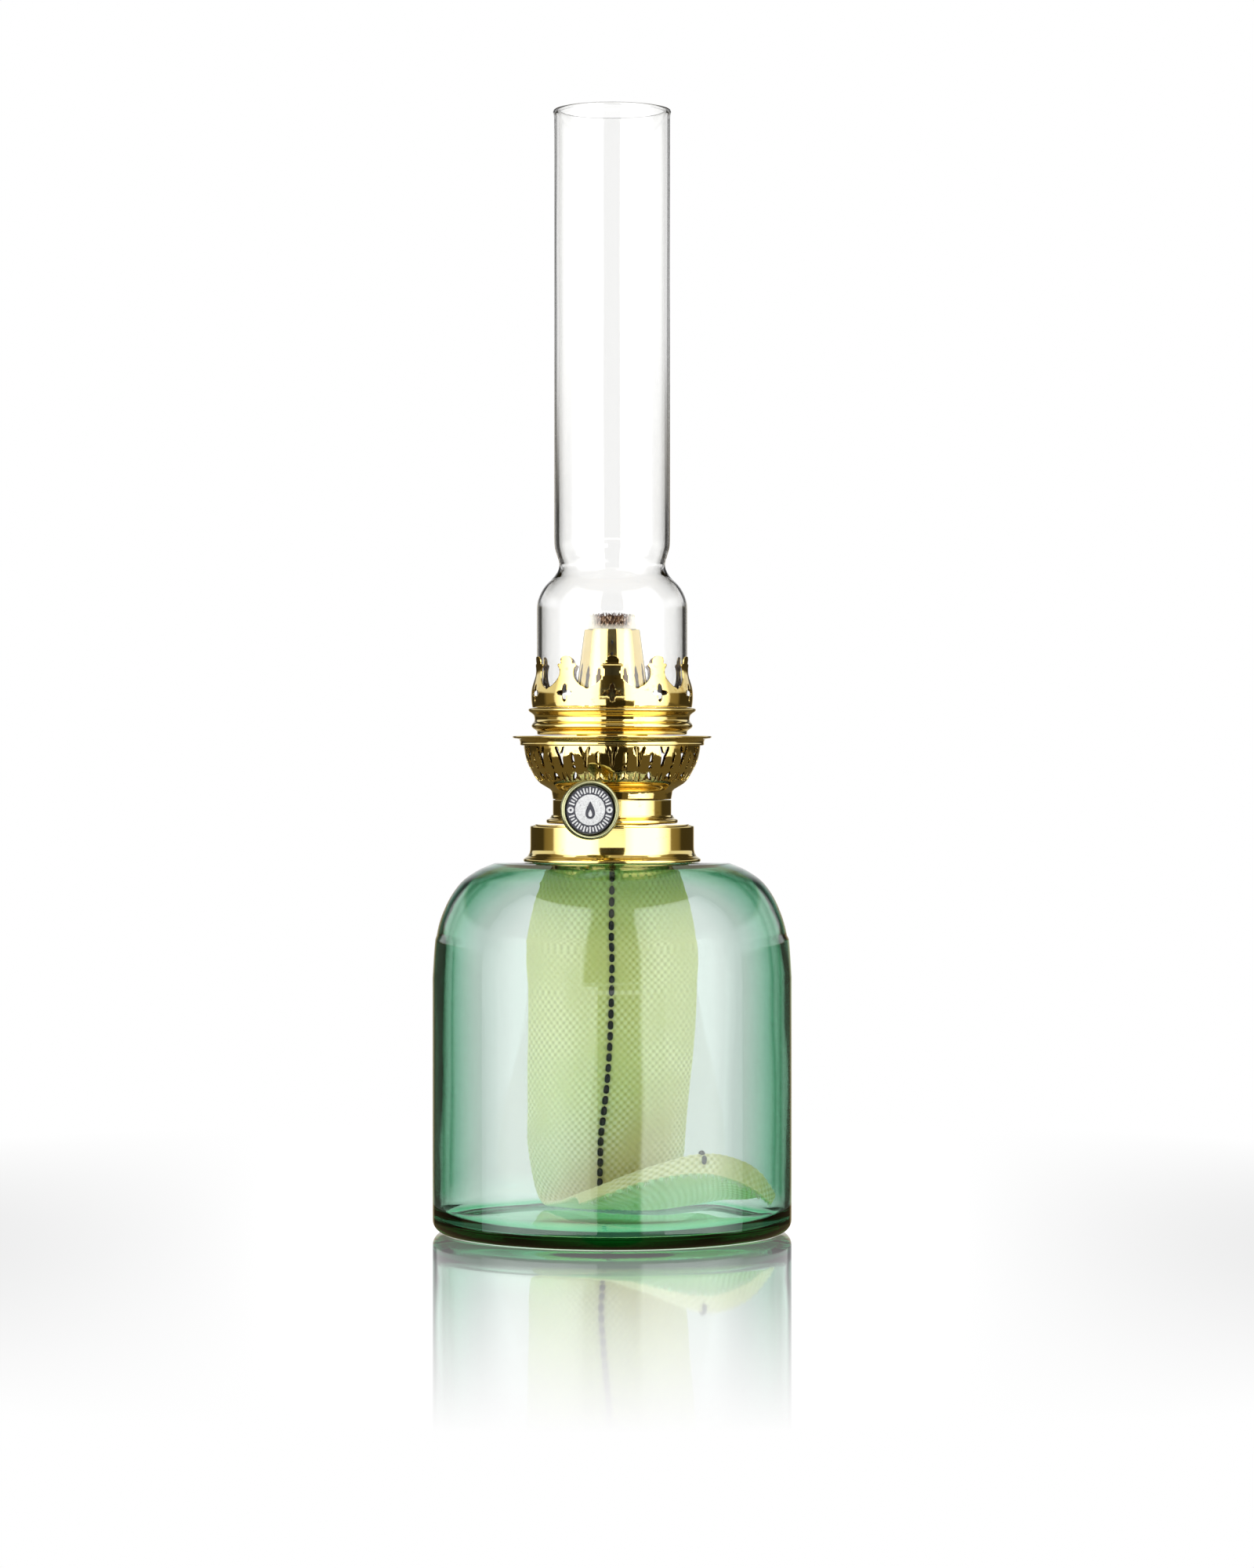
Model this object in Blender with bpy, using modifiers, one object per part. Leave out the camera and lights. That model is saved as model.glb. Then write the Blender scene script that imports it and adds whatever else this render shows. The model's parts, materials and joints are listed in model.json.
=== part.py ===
"""Oil lamp: clear glass chimney, round-wick brass burner, and a glass font that shows its flat wick.

Metres, +Z up. The origin is the centre of the font's flat base, and -Y is the front, where the
wick knob is. Every round piece is turned about the Z axis.
"""

import math

import bmesh
import bpy
from mathutils import Matrix, Vector

MM = 0.001
MERGE = 0.00001
GAP = 0.0003

# Driving dimensions
FONT_RADIUS = 63.6 * MM
FONT_WALL = 2.4 * MM
FONT_FLOOR = 4.0 * MM
FONT_TOP = 130.4 * MM
NECK_BORE = 24.9 * MM
NECK_TOP = 135.4 * MM
COLLAR_RADIUS = 29.0 * MM
COLLAR_TOP = 143.5 * MM
BURNER_BASE = 144.3 * MM
DRUM_RADIUS = 21.0 * MM
DRUM_TOP = 152.6 * MM
BASKET_RIM = 31.2 * MM
SHADE_FLANGE = 35.3 * MM
SHADE_TOP = 175.3 * MM
SHADE_SEAT_RADIUS = 30.0 * MM
SHEET_METAL = 0.5 * MM
GALLERY_BASE = 175.6 * MM
CROWN_BASE = 185.3 * MM
CROWN_TIP = 203.2 * MM
CROWN_THICKNESS = 0.45 * MM
PRONGS = 10
STAR_HEIGHT = 190.0 * MM
STAR_REACH = 3.0 * MM
STAR_WAIST = 1.1 * MM
BASKET_REPEATS = 20
SEAT_HOLES = 12
SEAT_HOLE_RADIUS = 2.0 * MM
SEAT_HOLE_CIRCLE = 20.5 * MM
CHIMNEY_SEAT = 179.8 * MM
CHIMNEY_TOP = 397.0 * MM
CHIMNEY_TUBE = 20.55 * MM
CHIMNEY_NECK = 18.75 * MM
CHIMNEY_FITTER = 26.65 * MM
CHIMNEY_WALL = 1.6 * MM
TUBE_BASE = 144.0 * MM
TUBE_TAPER_START = 192.0 * MM
TUBE_TOP = 212.9 * MM
TUBE_LOW_RADIUS = 12.6 * MM
TUBE_TOP_RADIUS = 9.85 * MM
AIR_TUBE_RADIUS = 6.3 * MM
AIR_DUCT_BASE = 157.0 * MM
AIR_DUCT_TOP = 170.0 * MM
AIR_DUCT_HALF_WIDTH = 4.0 * MM
AIR_DUCT_END = 13.5 * MM
WICK_THICKNESS = 1.8 * MM
WICK_HALF_WIDTH = 34.0 * MM
SPINDLE_OFFSET = 15.4 * MM
SPINDLE_HEIGHT = 149.6 * MM
SPINDLE_TURN = math.radians(13.0)
SPINDLE_RADIUS = 1.2 * MM
SPINDLE_HOLE = 1.5 * MM
WHEEL_RADIUS = 3.75 * MM
WHEEL_TEETH = 10
WHEEL_TOOTH = 1.1 * MM
WHEEL_SPREAD = 3.1 * MM
WHEEL_HALF_THICKNESS = 0.4 * MM
WHEEL_BOX_HALF_WIDTH = 4.1 * MM
WHEEL_BOX_WALL = 0.3 * MM
KNOB_RADIUS = 10.45 * MM
KNOB_BACK = 30.0 * MM

BRASS = ("brass", (0.83, 0.61, 0.24, 1.0), 0.18, 1.0)
OLD_BRASS = ("darkened_brass", (0.46, 0.27, 0.09, 1.0), 0.35, 1.0)
STEEL = ("plated_steel", (0.62, 0.61, 0.58, 1.0), 0.3, 1.0)
GREEN_GLASS = ("green_glass", (0.55, 0.86, 0.70, 0.35), 0.03, 0.0)
CLEAR_GLASS = ("clear_glass", (0.95, 0.97, 0.97, 0.30), 0.02, 0.0)
PLASTER = ("plaster", (0.80, 0.78, 0.72, 1.0), 0.9, 0.0)
COTTON = ("cotton", (0.86, 0.83, 0.66, 1.0), 0.95, 0.0)
ENAMEL = ("printed_tin", (0.86, 0.86, 0.86, 1.0), 0.35, 0.4)


def clear_scene():
    for item in list(bpy.data.objects):
        bpy.data.objects.remove(item, do_unlink=True)


def new_collection(name):
    group = bpy.data.collections.new(name)
    bpy.context.scene.collection.children.link(group)
    return group


clear_scene()
PARTS = new_collection("oil_lamp")
CUTTERS = new_collection("cutters")


def material(spec):
    name, colour, roughness, metallic = spec
    found = bpy.data.materials.get(name)
    if found:
        return found
    made = bpy.data.materials.new(name)
    made.use_nodes = True
    shader = made.node_tree.nodes["Principled BSDF"]
    shader.inputs["Base Color"].default_value = colour
    shader.inputs["Roughness"].default_value = roughness
    shader.inputs["Metallic"].default_value = metallic
    shader.inputs["Alpha"].default_value = colour[3]
    return made


def add_object(name, mesh, spec, parent=None):
    mesh.shade_smooth()
    mesh.set_sharp_from_angle(angle=math.radians(35))
    item = bpy.data.objects.new(name, mesh)
    item.data.materials.append(material(spec))
    item.parent = parent
    PARTS.objects.link(item)
    return item


def add_cutter(name, mesh):
    item = bpy.data.objects.new(name, mesh)
    item.hide_render = True
    item.display_type = "WIRE"
    CUTTERS.objects.link(item)
    return item


def mesh_from(work, name):
    bmesh.ops.recalc_face_normals(work, faces=work.faces)
    mesh = bpy.data.meshes.new(name)
    work.to_mesh(mesh)
    work.free()
    return mesh


def turned(name, outline, steps, spec, solid_core=False, parent=None):
    """A turned piece. The outline is (radius, height) points, down the outer side and up the inner.

    A piece with a solid core starts and ends its outline on the axis, going outwards first.
    """
    work = bmesh.new()
    points = [work.verts.new((radius, 0.0, height)) for radius, height in outline]
    for start, end in zip(points, points[1:]):
        work.edges.new((start, end))
    if not solid_core:
        work.edges.new((points[-1], points[0]))
    mesh = bpy.data.meshes.new(name)
    work.to_mesh(mesh)
    work.free()
    item = add_object(name, mesh, spec, parent)
    screw = item.modifiers.new("turn", "SCREW")
    screw.axis = "Z"
    screw.steps = steps
    screw.render_steps = steps
    screw.use_merge_vertices = True
    screw.merge_threshold = MERGE
    screw.use_smooth_shade = True
    return item


def cut(item, cutter):
    boolean = item.modifiers.new("cut_" + cutter.name, "BOOLEAN")
    boolean.operation = "DIFFERENCE"
    boolean.solver = "EXACT"
    boolean.object = cutter


def in_mm(points):
    return [tuple(value * MM for value in point) for point in points]


def arc(centre, radius, start_deg, end_deg, points):
    """Points on an arc in the (radius, height) plane."""
    made = []
    for index in range(points):
        turn = math.radians(start_deg + (end_deg - start_deg) * index / (points - 1))
        made.append((centre[0] + radius * math.cos(turn), centre[1] + radius * math.sin(turn)))
    return made


def smooth_line(points, parts):
    """A Catmull-Rom curve through the given points, with a number of parts between each two."""
    line = []
    padded = [points[0]] + list(points) + [points[-1]]
    for before, start, end, after in zip(padded, padded[1:], padded[2:], padded[3:]):
        for step in range(parts):
            t = step / parts
            line.append(
                tuple(
                    0.5 * (2 * b + (c - a) * t + (2 * a - 5 * b + 4 * c - d) * t * t
                           + (3 * b - a - 3 * c + d) * t ** 3)
                    for a, b, c, d in zip(before, start, end, after)
                )
            )
    line.append(tuple(points[-1]))
    return line


def radial_prisms(name, outline, inner, outer, turns):
    """One cutter: the (across, height) outline pushed outwards from the axis, once for each turn."""
    work = bmesh.new()
    for turn in turns:
        spin = Matrix.Rotation(turn, 3, "Z")
        places = [spin @ Vector((across, -inner, height)) for across, height in outline]
        corners = [work.verts.new(place) for place in places]
        face = work.faces.new(corners)
        pushed = bmesh.ops.extrude_face_region(work, geom=[face])
        moved = [element for element in pushed["geom"] if isinstance(element, bmesh.types.BMVert)]
        bmesh.ops.translate(work, verts=moved, vec=spin @ Vector((0.0, inner - outer, 0.0)))
    return add_cutter(name, mesh_from(work, name))


def evenly(count, phase_deg=0.0):
    return [math.radians(phase_deg) + 2 * math.pi * index / count for index in range(count)]


def box_cutter(name, low, high, turn=0.0):
    work = bmesh.new()
    size = [b - a for a, b in zip(low, high)]
    middle = [(a + b) / 2 for a, b in zip(low, high)]
    place = Matrix.Rotation(turn, 4, "Z") @ Matrix.Translation(middle) @ Matrix.Diagonal((*size, 1.0))
    bmesh.ops.create_cube(work, size=1.0, matrix=place)
    return add_cutter(name, mesh_from(work, name))


def add_rod(work, radius, length, sides, place):
    bmesh.ops.create_cone(
        work, cap_ends=True, segments=sides, radius1=radius, radius2=radius, depth=length, matrix=place
    )


def rod_cutter(name, radius, start, end, frame, sides=16):
    """A round cutter along the local Z of a frame."""
    work = bmesh.new()
    place = frame @ Matrix.Translation((0.0, 0.0, (start + end) / 2))
    add_rod(work, radius, end - start, sides, place)
    return add_cutter(name, mesh_from(work, name))


# Where the wick spindle runs: past the side of the wick tube, its knob end a little to the right
SPINDLE_AWAY = Vector((-math.cos(SPINDLE_TURN), -math.sin(SPINDLE_TURN), 0.0))
SPINDLE_ALONG = Vector((math.sin(SPINDLE_TURN), -math.cos(SPINDLE_TURN), 0.0))
SPINDLE_PLACE = SPINDLE_AWAY * SPINDLE_OFFSET + Vector((0.0, 0.0, SPINDLE_HEIGHT))
SPINDLE_SPIN = SPINDLE_ALONG.to_track_quat("Z", "Y").to_matrix().to_4x4()
SPINDLE_FRAME = Matrix.Translation(SPINDLE_PLACE) @ SPINDLE_SPIN
BOX_TURN = math.pi + SPINDLE_TURN


def font_glass():
    shoulder = [
        (41.4 * MM, FONT_TOP),
        (47.8 * MM, 127.6 * MM),
        (54.0 * MM, 122.9 * MM),
        (59.3 * MM, 114.8 * MM),
        (62.4 * MM, 104.8 * MM),
        (FONT_RADIUS, 90.0 * MM),
    ]
    outer = [(27.2 * MM, NECK_TOP), (27.2 * MM, FONT_TOP)] + smooth_line(shoulder, 2)
    outer += arc((FONT_RADIUS - 4.5 * MM, 4.5 * MM), 4.5 * MM, 0, -90, 5)
    inner = arc((FONT_RADIUS - FONT_WALL - 6 * MM, FONT_FLOOR + 6 * MM), 6 * MM, -90, 0, 4)
    inside = [(radius - 2.3 * MM, height - 1.2 * MM) for radius, height in smooth_line(shoulder, 2)]
    inner += [(FONT_RADIUS - FONT_WALL, height) if radius > 61 * MM else (radius, height)
              for radius, height in reversed(inside)]
    inner += [(39.0 * MM, 127.6 * MM), (26.5 * MM, 127.6 * MM)]
    inner += [(NECK_BORE, 129.0 * MM), (NECK_BORE, NECK_TOP)]
    outline = [(0.0, FONT_FLOOR)] + inner + outer + [(0.0, 0.0)]
    turned("font_glass", outline, 36, GREEN_GLASS, solid_core=True)


def collar():
    cement = [(28.1, 135.2), (28.1, 130.9), (27.5, 130.9), (27.5, 135.2)]
    turned("collar_cement", in_mm(cement), 30, PLASTER)
    band = [
        (28.4 * MM, COLLAR_TOP),
        (COLLAR_RADIUS, COLLAR_TOP - 0.3 * MM),
        (COLLAR_RADIUS, 134.3 * MM),
        (29.6 * MM, 132.9 * MM),
        (31.4 * MM, 131.5 * MM),
        (31.4 * MM, FONT_TOP + GAP),
        (28.9 * MM, FONT_TOP + GAP),
        (28.4 * MM, 131.2 * MM),
        (28.4 * MM, 136.0 * MM),
        (27.7 * MM, 136.4 * MM),
        (27.7 * MM, 142.9 * MM),
    ]
    turned("collar_band", band, 36, BRASS)


def burner_base():
    ring = [
        (27.2 * MM, 144.0 * MM),
        (27.2 * MM, 136.4 * MM),
        (26.4 * MM, 136.4 * MM),
        (26.4 * MM, 143.3 * MM),
        (17.0 * MM, 143.3 * MM),
        (17.0 * MM, 144.0 * MM),
    ]
    turned("burner_thread_ring", ring, 36, BRASS)
    plate = [
        (21.5 * MM, 147.2 * MM),
        (22.2 * MM, 146.0 * MM),
        (23.3 * MM, 145.7 * MM),
        (23.3 * MM, BURNER_BASE),
        (12.95 * MM, BURNER_BASE),
        (12.95 * MM, BURNER_BASE + SHEET_METAL),
        (21.3 * MM, BURNER_BASE + SHEET_METAL),
        (21.3 * MM, 147.2 * MM),
    ]
    turned("drum_base_plate", plate, 36, BRASS)
    drum = [
        (DRUM_RADIUS, DRUM_TOP),
        (DRUM_RADIUS, 145.1 * MM),
        (DRUM_RADIUS - SHEET_METAL, 145.1 * MM),
        (DRUM_RADIUS - SHEET_METAL, DRUM_TOP),
    ]
    shell = turned("mechanism_drum", drum, 36, BRASS)
    cut(shell, rod_cutter("spindle_holes", SPINDLE_HOLE, -30 * MM, 30 * MM, SPINDLE_FRAME))
    bush = [
        (2.3 * MM, 22.0 * MM),
        (2.3 * MM, 10.0 * MM),
        (SPINDLE_HOLE, 10.0 * MM),
        (SPINDLE_HOLE, 22.0 * MM),
    ]
    sleeve = turned("spindle_bush", bush, 16, BRASS)
    sleeve.matrix_world = SPINDLE_FRAME
    cut(sleeve, rod_cutter("drum_side", DRUM_RADIUS + GAP, 140 * MM, 160 * MM, Matrix.Identity(4), 36))


def air_basket():
    outer = [
        (31.3 * MM, 174.2 * MM),
        (BASKET_RIM, 171.0 * MM),
        (30.6 * MM, 167.6 * MM),
        (29.4 * MM, 164.3 * MM),
        (26.4 * MM, 159.3 * MM),
        (24.3 * MM, 157.6 * MM),
        (21.7 * MM, 156.0 * MM),
        (21.3 * MM, 154.7 * MM),
        (21.0 * MM, DRUM_TOP + GAP),
    ]
    inner = [
        (20.5 * MM, DRUM_TOP + GAP),
        (20.7 * MM, 155.0 * MM),
        (21.2 * MM, 156.4 * MM),
        (24.0 * MM, 158.2 * MM),
        (26.0 * MM, 159.8 * MM),
        (28.9 * MM, 164.6 * MM),
        (30.1 * MM, 167.8 * MM),
        (30.7 * MM, 171.0 * MM),
        (30.8 * MM, 174.2 * MM),
    ]
    bowl = turned("air_basket", outer + inner, 40, OLD_BRASS)
    arch = [(-2.6, 170.6), (-1.2, 165.4), (1.2, 165.4), (2.6, 170.6)]
    cut(bowl, radial_prisms("upper_openings", in_mm(arch), 24 * MM, 36 * MM, evenly(BASKET_REPEATS)))
    drop = [(-1.2, 162.6), (-1.2, 160.4), (1.2, 160.4), (1.2, 162.6)]
    between = evenly(BASKET_REPEATS, 180 / BASKET_REPEATS)
    cut(bowl, radial_prisms("lower_openings", in_mm(drop), 22 * MM, 36 * MM, between))


def shade_ring():
    """The ring that a shade sits on: a flat flange outside, and a slightly sunken seat for the gallery."""
    outline = [
        (SHADE_FLANGE - 0.3 * MM, SHADE_TOP),
        (SHADE_FLANGE, SHADE_TOP - 0.4 * MM),
        (SHADE_FLANGE - 0.3 * MM, SHADE_TOP - 1.0 * MM),
        (32.6 * MM, 174.2 * MM),
        (32.4 * MM, 171.8 * MM),
        (31.7 * MM, 171.8 * MM),
        (31.7 * MM, 174.6 * MM),
        (24.5 * MM, 174.6 * MM),
        (24.5 * MM, SHADE_TOP - 0.2 * MM),
        (SHADE_SEAT_RADIUS, SHADE_TOP - 0.2 * MM),
        (SHADE_SEAT_RADIUS, SHADE_TOP),
    ]
    turned("shade_ring", outline, 40, BRASS)


def gallery():
    ring = [
        (28.6 * MM, 185.0 * MM),
        (29.5 * MM, 184.8 * MM),
        (29.7 * MM, 184.3 * MM),
        (29.2 * MM, 183.5 * MM),
        (27.6 * MM, 182.1 * MM),
        (27.5 * MM, 180.7 * MM),
        (28.3 * MM, 179.4 * MM),
        (28.6 * MM, 178.7 * MM),
        (28.1 * MM, 177.8 * MM),
        (26.6 * MM, 176.9 * MM),
        (26.5 * MM, GALLERY_BASE),
        (25.6 * MM, GALLERY_BASE),
        (25.6 * MM, 178.6 * MM),
        (27.0 * MM, 178.6 * MM),
        (27.0 * MM, 185.0 * MM),
    ]
    turned("gallery_ring", ring, 36, BRASS)
    seat = [
        (26.7 * MM, 179.4 * MM),
        (26.7 * MM, 178.9 * MM),
        (15.0 * MM, 178.9 * MM),
        (15.0 * MM, 179.4 * MM),
    ]
    plate = turned("chimney_seat", seat, 36, OLD_BRASS)
    work = bmesh.new()
    for turn in evenly(SEAT_HOLES):
        place = Matrix.Rotation(turn, 4, "Z") @ Matrix.Translation((SEAT_HOLE_CIRCLE, 0.0, 179.15 * MM))
        add_rod(work, SEAT_HOLE_RADIUS, 4 * MM, 8, place)
    cut(plate, add_cutter("seat_holes", mesh_from(work, "seat_holes")))


def crown_notch():
    """The outline of the gap between two prongs, which leaves each prong a round, lobed head."""
    half_pitch = 28.5 * math.tan(math.pi / PRONGS)
    prong_side = [
        (2.0, CROWN_TIP / MM),
        (2.7, 201.8),
        (2.5, 200.7),
        (4.1, 200.0),
        (3.4, 198.6),
        (3.5, 196.0),
        (5.3, 193.2),
    ]
    right = [(half_pitch - across, height) for across, height in prong_side]
    left = [(-across, height) for across, height in reversed(right)]
    above = CROWN_TIP / MM + 2.0
    return in_mm([(right[0][0], above)] + right + [(0.0, 191.6)] + left + [(left[-1][0], above)])


def star_outline():
    star = []
    for corner in range(8):
        reach = STAR_REACH if corner % 2 == 0 else STAR_WAIST
        turn = math.radians(45.0 * corner)
        star.append((reach * math.sin(turn), STAR_HEIGHT + 0.9 * reach * math.cos(turn)))
    return star


def gallery_crown():
    """The sprung cup that grips the chimney: a turned band, cut into prongs with a star under each."""
    outer = in_mm([
        (27.6, CROWN_TIP / MM),
        (27.35, 200.0),
        (27.5, 196.5),
        (28.3, 193.2),
        (28.65, 190.0),
        (28.55, 187.0),
        (28.3, CROWN_BASE / MM),
    ])
    inner = [(radius - CROWN_THICKNESS, height) for radius, height in reversed(outer)]
    band = turned("gallery_crown", outer + inner, 40, BRASS)
    between = evenly(PRONGS, 180 / PRONGS)
    cut(band, radial_prisms("crown_gaps", crown_notch(), 20 * MM, 36 * MM, between))
    cut(band, radial_prisms("crown_stars", star_outline(), 20 * MM, 36 * MM, evenly(PRONGS)))


def chimney():
    outer = [
        (CHIMNEY_TUBE + 0.1 * MM, CHIMNEY_TOP),
        (CHIMNEY_TUBE + 0.4 * MM, CHIMNEY_TOP - 0.9 * MM),
        (CHIMNEY_TUBE, CHIMNEY_TOP - 2.4 * MM),
        (CHIMNEY_TUBE, 320.0 * MM),
    ]
    waist = [
        (CHIMNEY_TUBE, 242.5 * MM),
        (19.6 * MM, 239.2 * MM),
        (CHIMNEY_NECK, 235.7 * MM),
        (20.1 * MM, 232.2 * MM),
        (24.2 * MM, 227.6 * MM),
        (CHIMNEY_FITTER, 222.0 * MM),
    ]
    outer += smooth_line(waist, 2) + [(CHIMNEY_FITTER, CHIMNEY_SEAT)]
    inner = [(radius - CHIMNEY_WALL, height) for radius, height in reversed(outer[3:])]
    inner += [(CHIMNEY_TUBE - CHIMNEY_WALL, CHIMNEY_TOP - 1.2 * MM)]
    turned("glass_chimney", outer + inner, 30, CLEAR_GLASS)


def wick_tubes():
    outer = [
        (TUBE_TOP_RADIUS, TUBE_TOP),
        (TUBE_LOW_RADIUS, TUBE_TAPER_START),
        (TUBE_LOW_RADIUS, TUBE_BASE),
        (TUBE_LOW_RADIUS - SHEET_METAL, TUBE_BASE),
        (TUBE_LOW_RADIUS - SHEET_METAL, TUBE_TAPER_START),
        (TUBE_TOP_RADIUS - SHEET_METAL, TUBE_TOP),
    ]
    shell = turned("outer_wick_tube", outer, 28, BRASS)
    cut(shell, box_cutter("wheel_window", (5 * MM, -4.6 * MM, 145.4 * MM), (20 * MM, 4.6 * MM, 153.8 * MM),
                          BOX_TURN))
    cut(shell, box_cutter("duct_window", (-AIR_DUCT_HALF_WIDTH - GAP, 5 * MM, AIR_DUCT_BASE - GAP),
                          (AIR_DUCT_HALF_WIDTH + GAP, 20 * MM, AIR_DUCT_TOP + GAP)))
    inner = [
        (0.0, AIR_DUCT_BASE + SHEET_METAL),
        (AIR_TUBE_RADIUS - SHEET_METAL, AIR_DUCT_BASE + SHEET_METAL),
        (AIR_TUBE_RADIUS - SHEET_METAL, TUBE_TOP - SHEET_METAL),
        (AIR_TUBE_RADIUS, TUBE_TOP - SHEET_METAL),
        (AIR_TUBE_RADIUS, AIR_DUCT_BASE),
        (0.0, AIR_DUCT_BASE),
    ]
    tube = turned("inner_air_tube", inner, 20, BRASS, solid_core=True)
    join = tube.modifiers.new("duct", "BOOLEAN")
    join.operation = "UNION"
    join.solver = "EXACT"
    join.object = box_cutter("duct_body", (-AIR_DUCT_HALF_WIDTH, 5.6 * MM, AIR_DUCT_BASE + 0.2 * MM),
                             (AIR_DUCT_HALF_WIDTH, AIR_DUCT_END, AIR_DUCT_TOP - 0.2 * MM))
    half_bore = AIR_DUCT_HALF_WIDTH - SHEET_METAL
    cut(tube, box_cutter("duct_bore", (-half_bore, 2 * MM, AIR_DUCT_BASE + 0.7 * MM),
                         (half_bore, AIR_DUCT_END + 1.5 * MM, AIR_DUCT_TOP - 0.7 * MM)))


def wheel_box():
    """The sheet-metal box over the sprocket wheels, open to the wick tube and at the bottom."""
    work = bmesh.new()
    low = Vector((12.0 * MM, -WHEEL_BOX_HALF_WIDTH, 145.1 * MM))
    high = Vector((19.75 * MM, WHEEL_BOX_HALF_WIDTH, 153.95 * MM))
    spin = Matrix.Rotation(BOX_TURN, 4, "Z")
    place = spin @ Matrix.Translation((low + high) / 2) @ Matrix.Diagonal((*(high - low), 1.0))
    bmesh.ops.create_cube(work, size=1.0, matrix=place)
    item = add_object("wheel_box", mesh_from(work, "wheel_box"), OLD_BRASS)
    wall = WHEEL_BOX_WALL
    open_side = 2 * MM
    cut(item, box_cutter("wheel_box_hollow", (low.x - open_side, low.y + wall, low.z - open_side),
                         (high.x - wall, high.y - wall, high.z - wall), BOX_TURN))
    cut(item, rod_cutter("wheel_box_holes", SPINDLE_HOLE, -8 * MM, 8 * MM, SPINDLE_FRAME))
    cut(item, rod_cutter("tube_side", TUBE_LOW_RADIUS + GAP, 140 * MM, 160 * MM, Matrix.Identity(4), 28))


def sprocket_wheel(name, along, axis):
    outline = []
    for index, turn in enumerate(evenly(2 * WHEEL_TEETH)):
        reach = WHEEL_RADIUS if index % 2 == 0 else WHEEL_RADIUS - WHEEL_TOOTH
        outline.append((reach * math.cos(turn), reach * math.sin(turn)))
    bore = [(SPINDLE_HOLE * math.cos(turn), SPINDLE_HOLE * math.sin(turn)) for turn in evenly(12)]
    curve = bpy.data.curves.new(name, "CURVE")
    curve.dimensions = "2D"
    curve.fill_mode = "BOTH"
    curve.extrude = WHEEL_HALF_THICKNESS
    for points in (outline, bore):
        spline = curve.splines.new("POLY")
        spline.points.add(len(points) - 1)
        for point, (x, y) in zip(spline.points, points):
            point.co = (x, y, 0.0, 1.0)
        spline.use_cyclic_u = True
    item = bpy.data.objects.new(name, curve)
    item.data.materials.append(material(STEEL))
    item.parent = axis
    item.location = (0.0, 0.0, along)
    PARTS.objects.link(item)


def knob():
    axis = bpy.data.objects.new("knob_axis", None)
    axis.matrix_world = SPINDLE_FRAME
    PARTS.objects.link(axis)
    rod = [
        (0.0, 31.6 * MM),
        (SPINDLE_RADIUS, 31.6 * MM),
        (SPINDLE_RADIUS, -16.0 * MM),
        (0.0, -16.0 * MM),
    ]
    turned("wick_spindle", rod, 16, STEEL, solid_core=True, parent=axis)
    sprocket_wheel("sprocket_wheel_front", WHEEL_SPREAD, axis)
    sprocket_wheel("sprocket_wheel_rear", -WHEEL_SPREAD, axis)
    dish = [
        (9.3 * MM, 33.6 * MM),
        (10.0 * MM, 33.4 * MM),
        (KNOB_RADIUS, 32.7 * MM),
        (10.3 * MM, 31.8 * MM),
        (9.5 * MM, 31.2 * MM),
        (3.0 * MM, KNOB_BACK + 0.8 * MM),
        (2.6 * MM, KNOB_BACK),
        (SPINDLE_HOLE, KNOB_BACK),
        (SPINDLE_HOLE, 31.9 * MM),
        (8.7 * MM, 31.9 * MM),
        (8.9 * MM, 33.3 * MM),
    ]
    turned("knob_dish", dish, 28, BRASS, parent=axis)
    face = [
        (0.0, 32.8 * MM),
        (8.1 * MM, 32.8 * MM),
        (8.4 * MM, 32.5 * MM),
        (8.4 * MM, 32.2 * MM),
        (0.0, 32.2 * MM),
    ]
    turned("knob_face", face, 24, ENAMEL, solid_core=True, parent=axis)


WRAPPED_WICK_RADIUS = 10.55
# The line down the middle of the wick, from its burning edge to where it nears the font's floor
WICK_LINE = [
    (0.0, -7.45, 217.4),
    (0.0, -10.4, 192.0),
    (0.0, -WRAPPED_WICK_RADIUS, 168.0),
    (0.0, -WRAPPED_WICK_RADIUS, 150.0),
    (0.0, -WRAPPED_WICK_RADIUS, 141.0),
    (0.0, -8.6, 126.0),
    (-0.3, -4.5, 104.0),
    (-0.2, 0.5, 84.0),
    (-0.8, 6.0, 64.0),
    (-2.0, 14.0, 44.0),
    (-3.0, 22.0, 26.0),
]
# Then it folds on the floor, comes forward, arches up, and hangs over at its cut end: five points across each
WICK_TAIL = [
    [(-27.0, 36.0, 7.5), (-15.0, 31.0, 6.5), (-1.0, 30.0, 6.3), (13.0, 32.0, 6.5), (23.0, 38.0, 7.5)],
    [(-20.0, 22.0, 7.5), (-2.0, 13.0, 9.5), (16.0, 10.0, 14.0), (33.0, 13.0, 14.0), (46.0, 21.0, 9.5)],
    [(-13.0, 12.0, 10.5), (9.0, 1.0, 20.5), (31.0, -3.5, 27.0), (48.0, -1.5, 24.0), (57.5, 7.0, 13.5)],
    [(-11.0, 7.0, 8.5), (10.0, -5.0, 17.5), (31.0, -9.5, 21.0), (47.0, -8.0, 17.5), (56.5, 1.0, 9.8)],
]
WICK_TUBE_FOOT = 141.0
WICK_OPEN = 118.0
WICK_WRAP = math.radians(150)
WICK_TOP_BOW = 40.0
WICK_LOW_BOW = 31.0


def eased(value, low, high):
    """0 below low, 1 above high, and a smooth step between."""
    t = min(max((value - low) / (high - low), 0.0), 1.0)
    return t * t * (3 - 2 * t)


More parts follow.
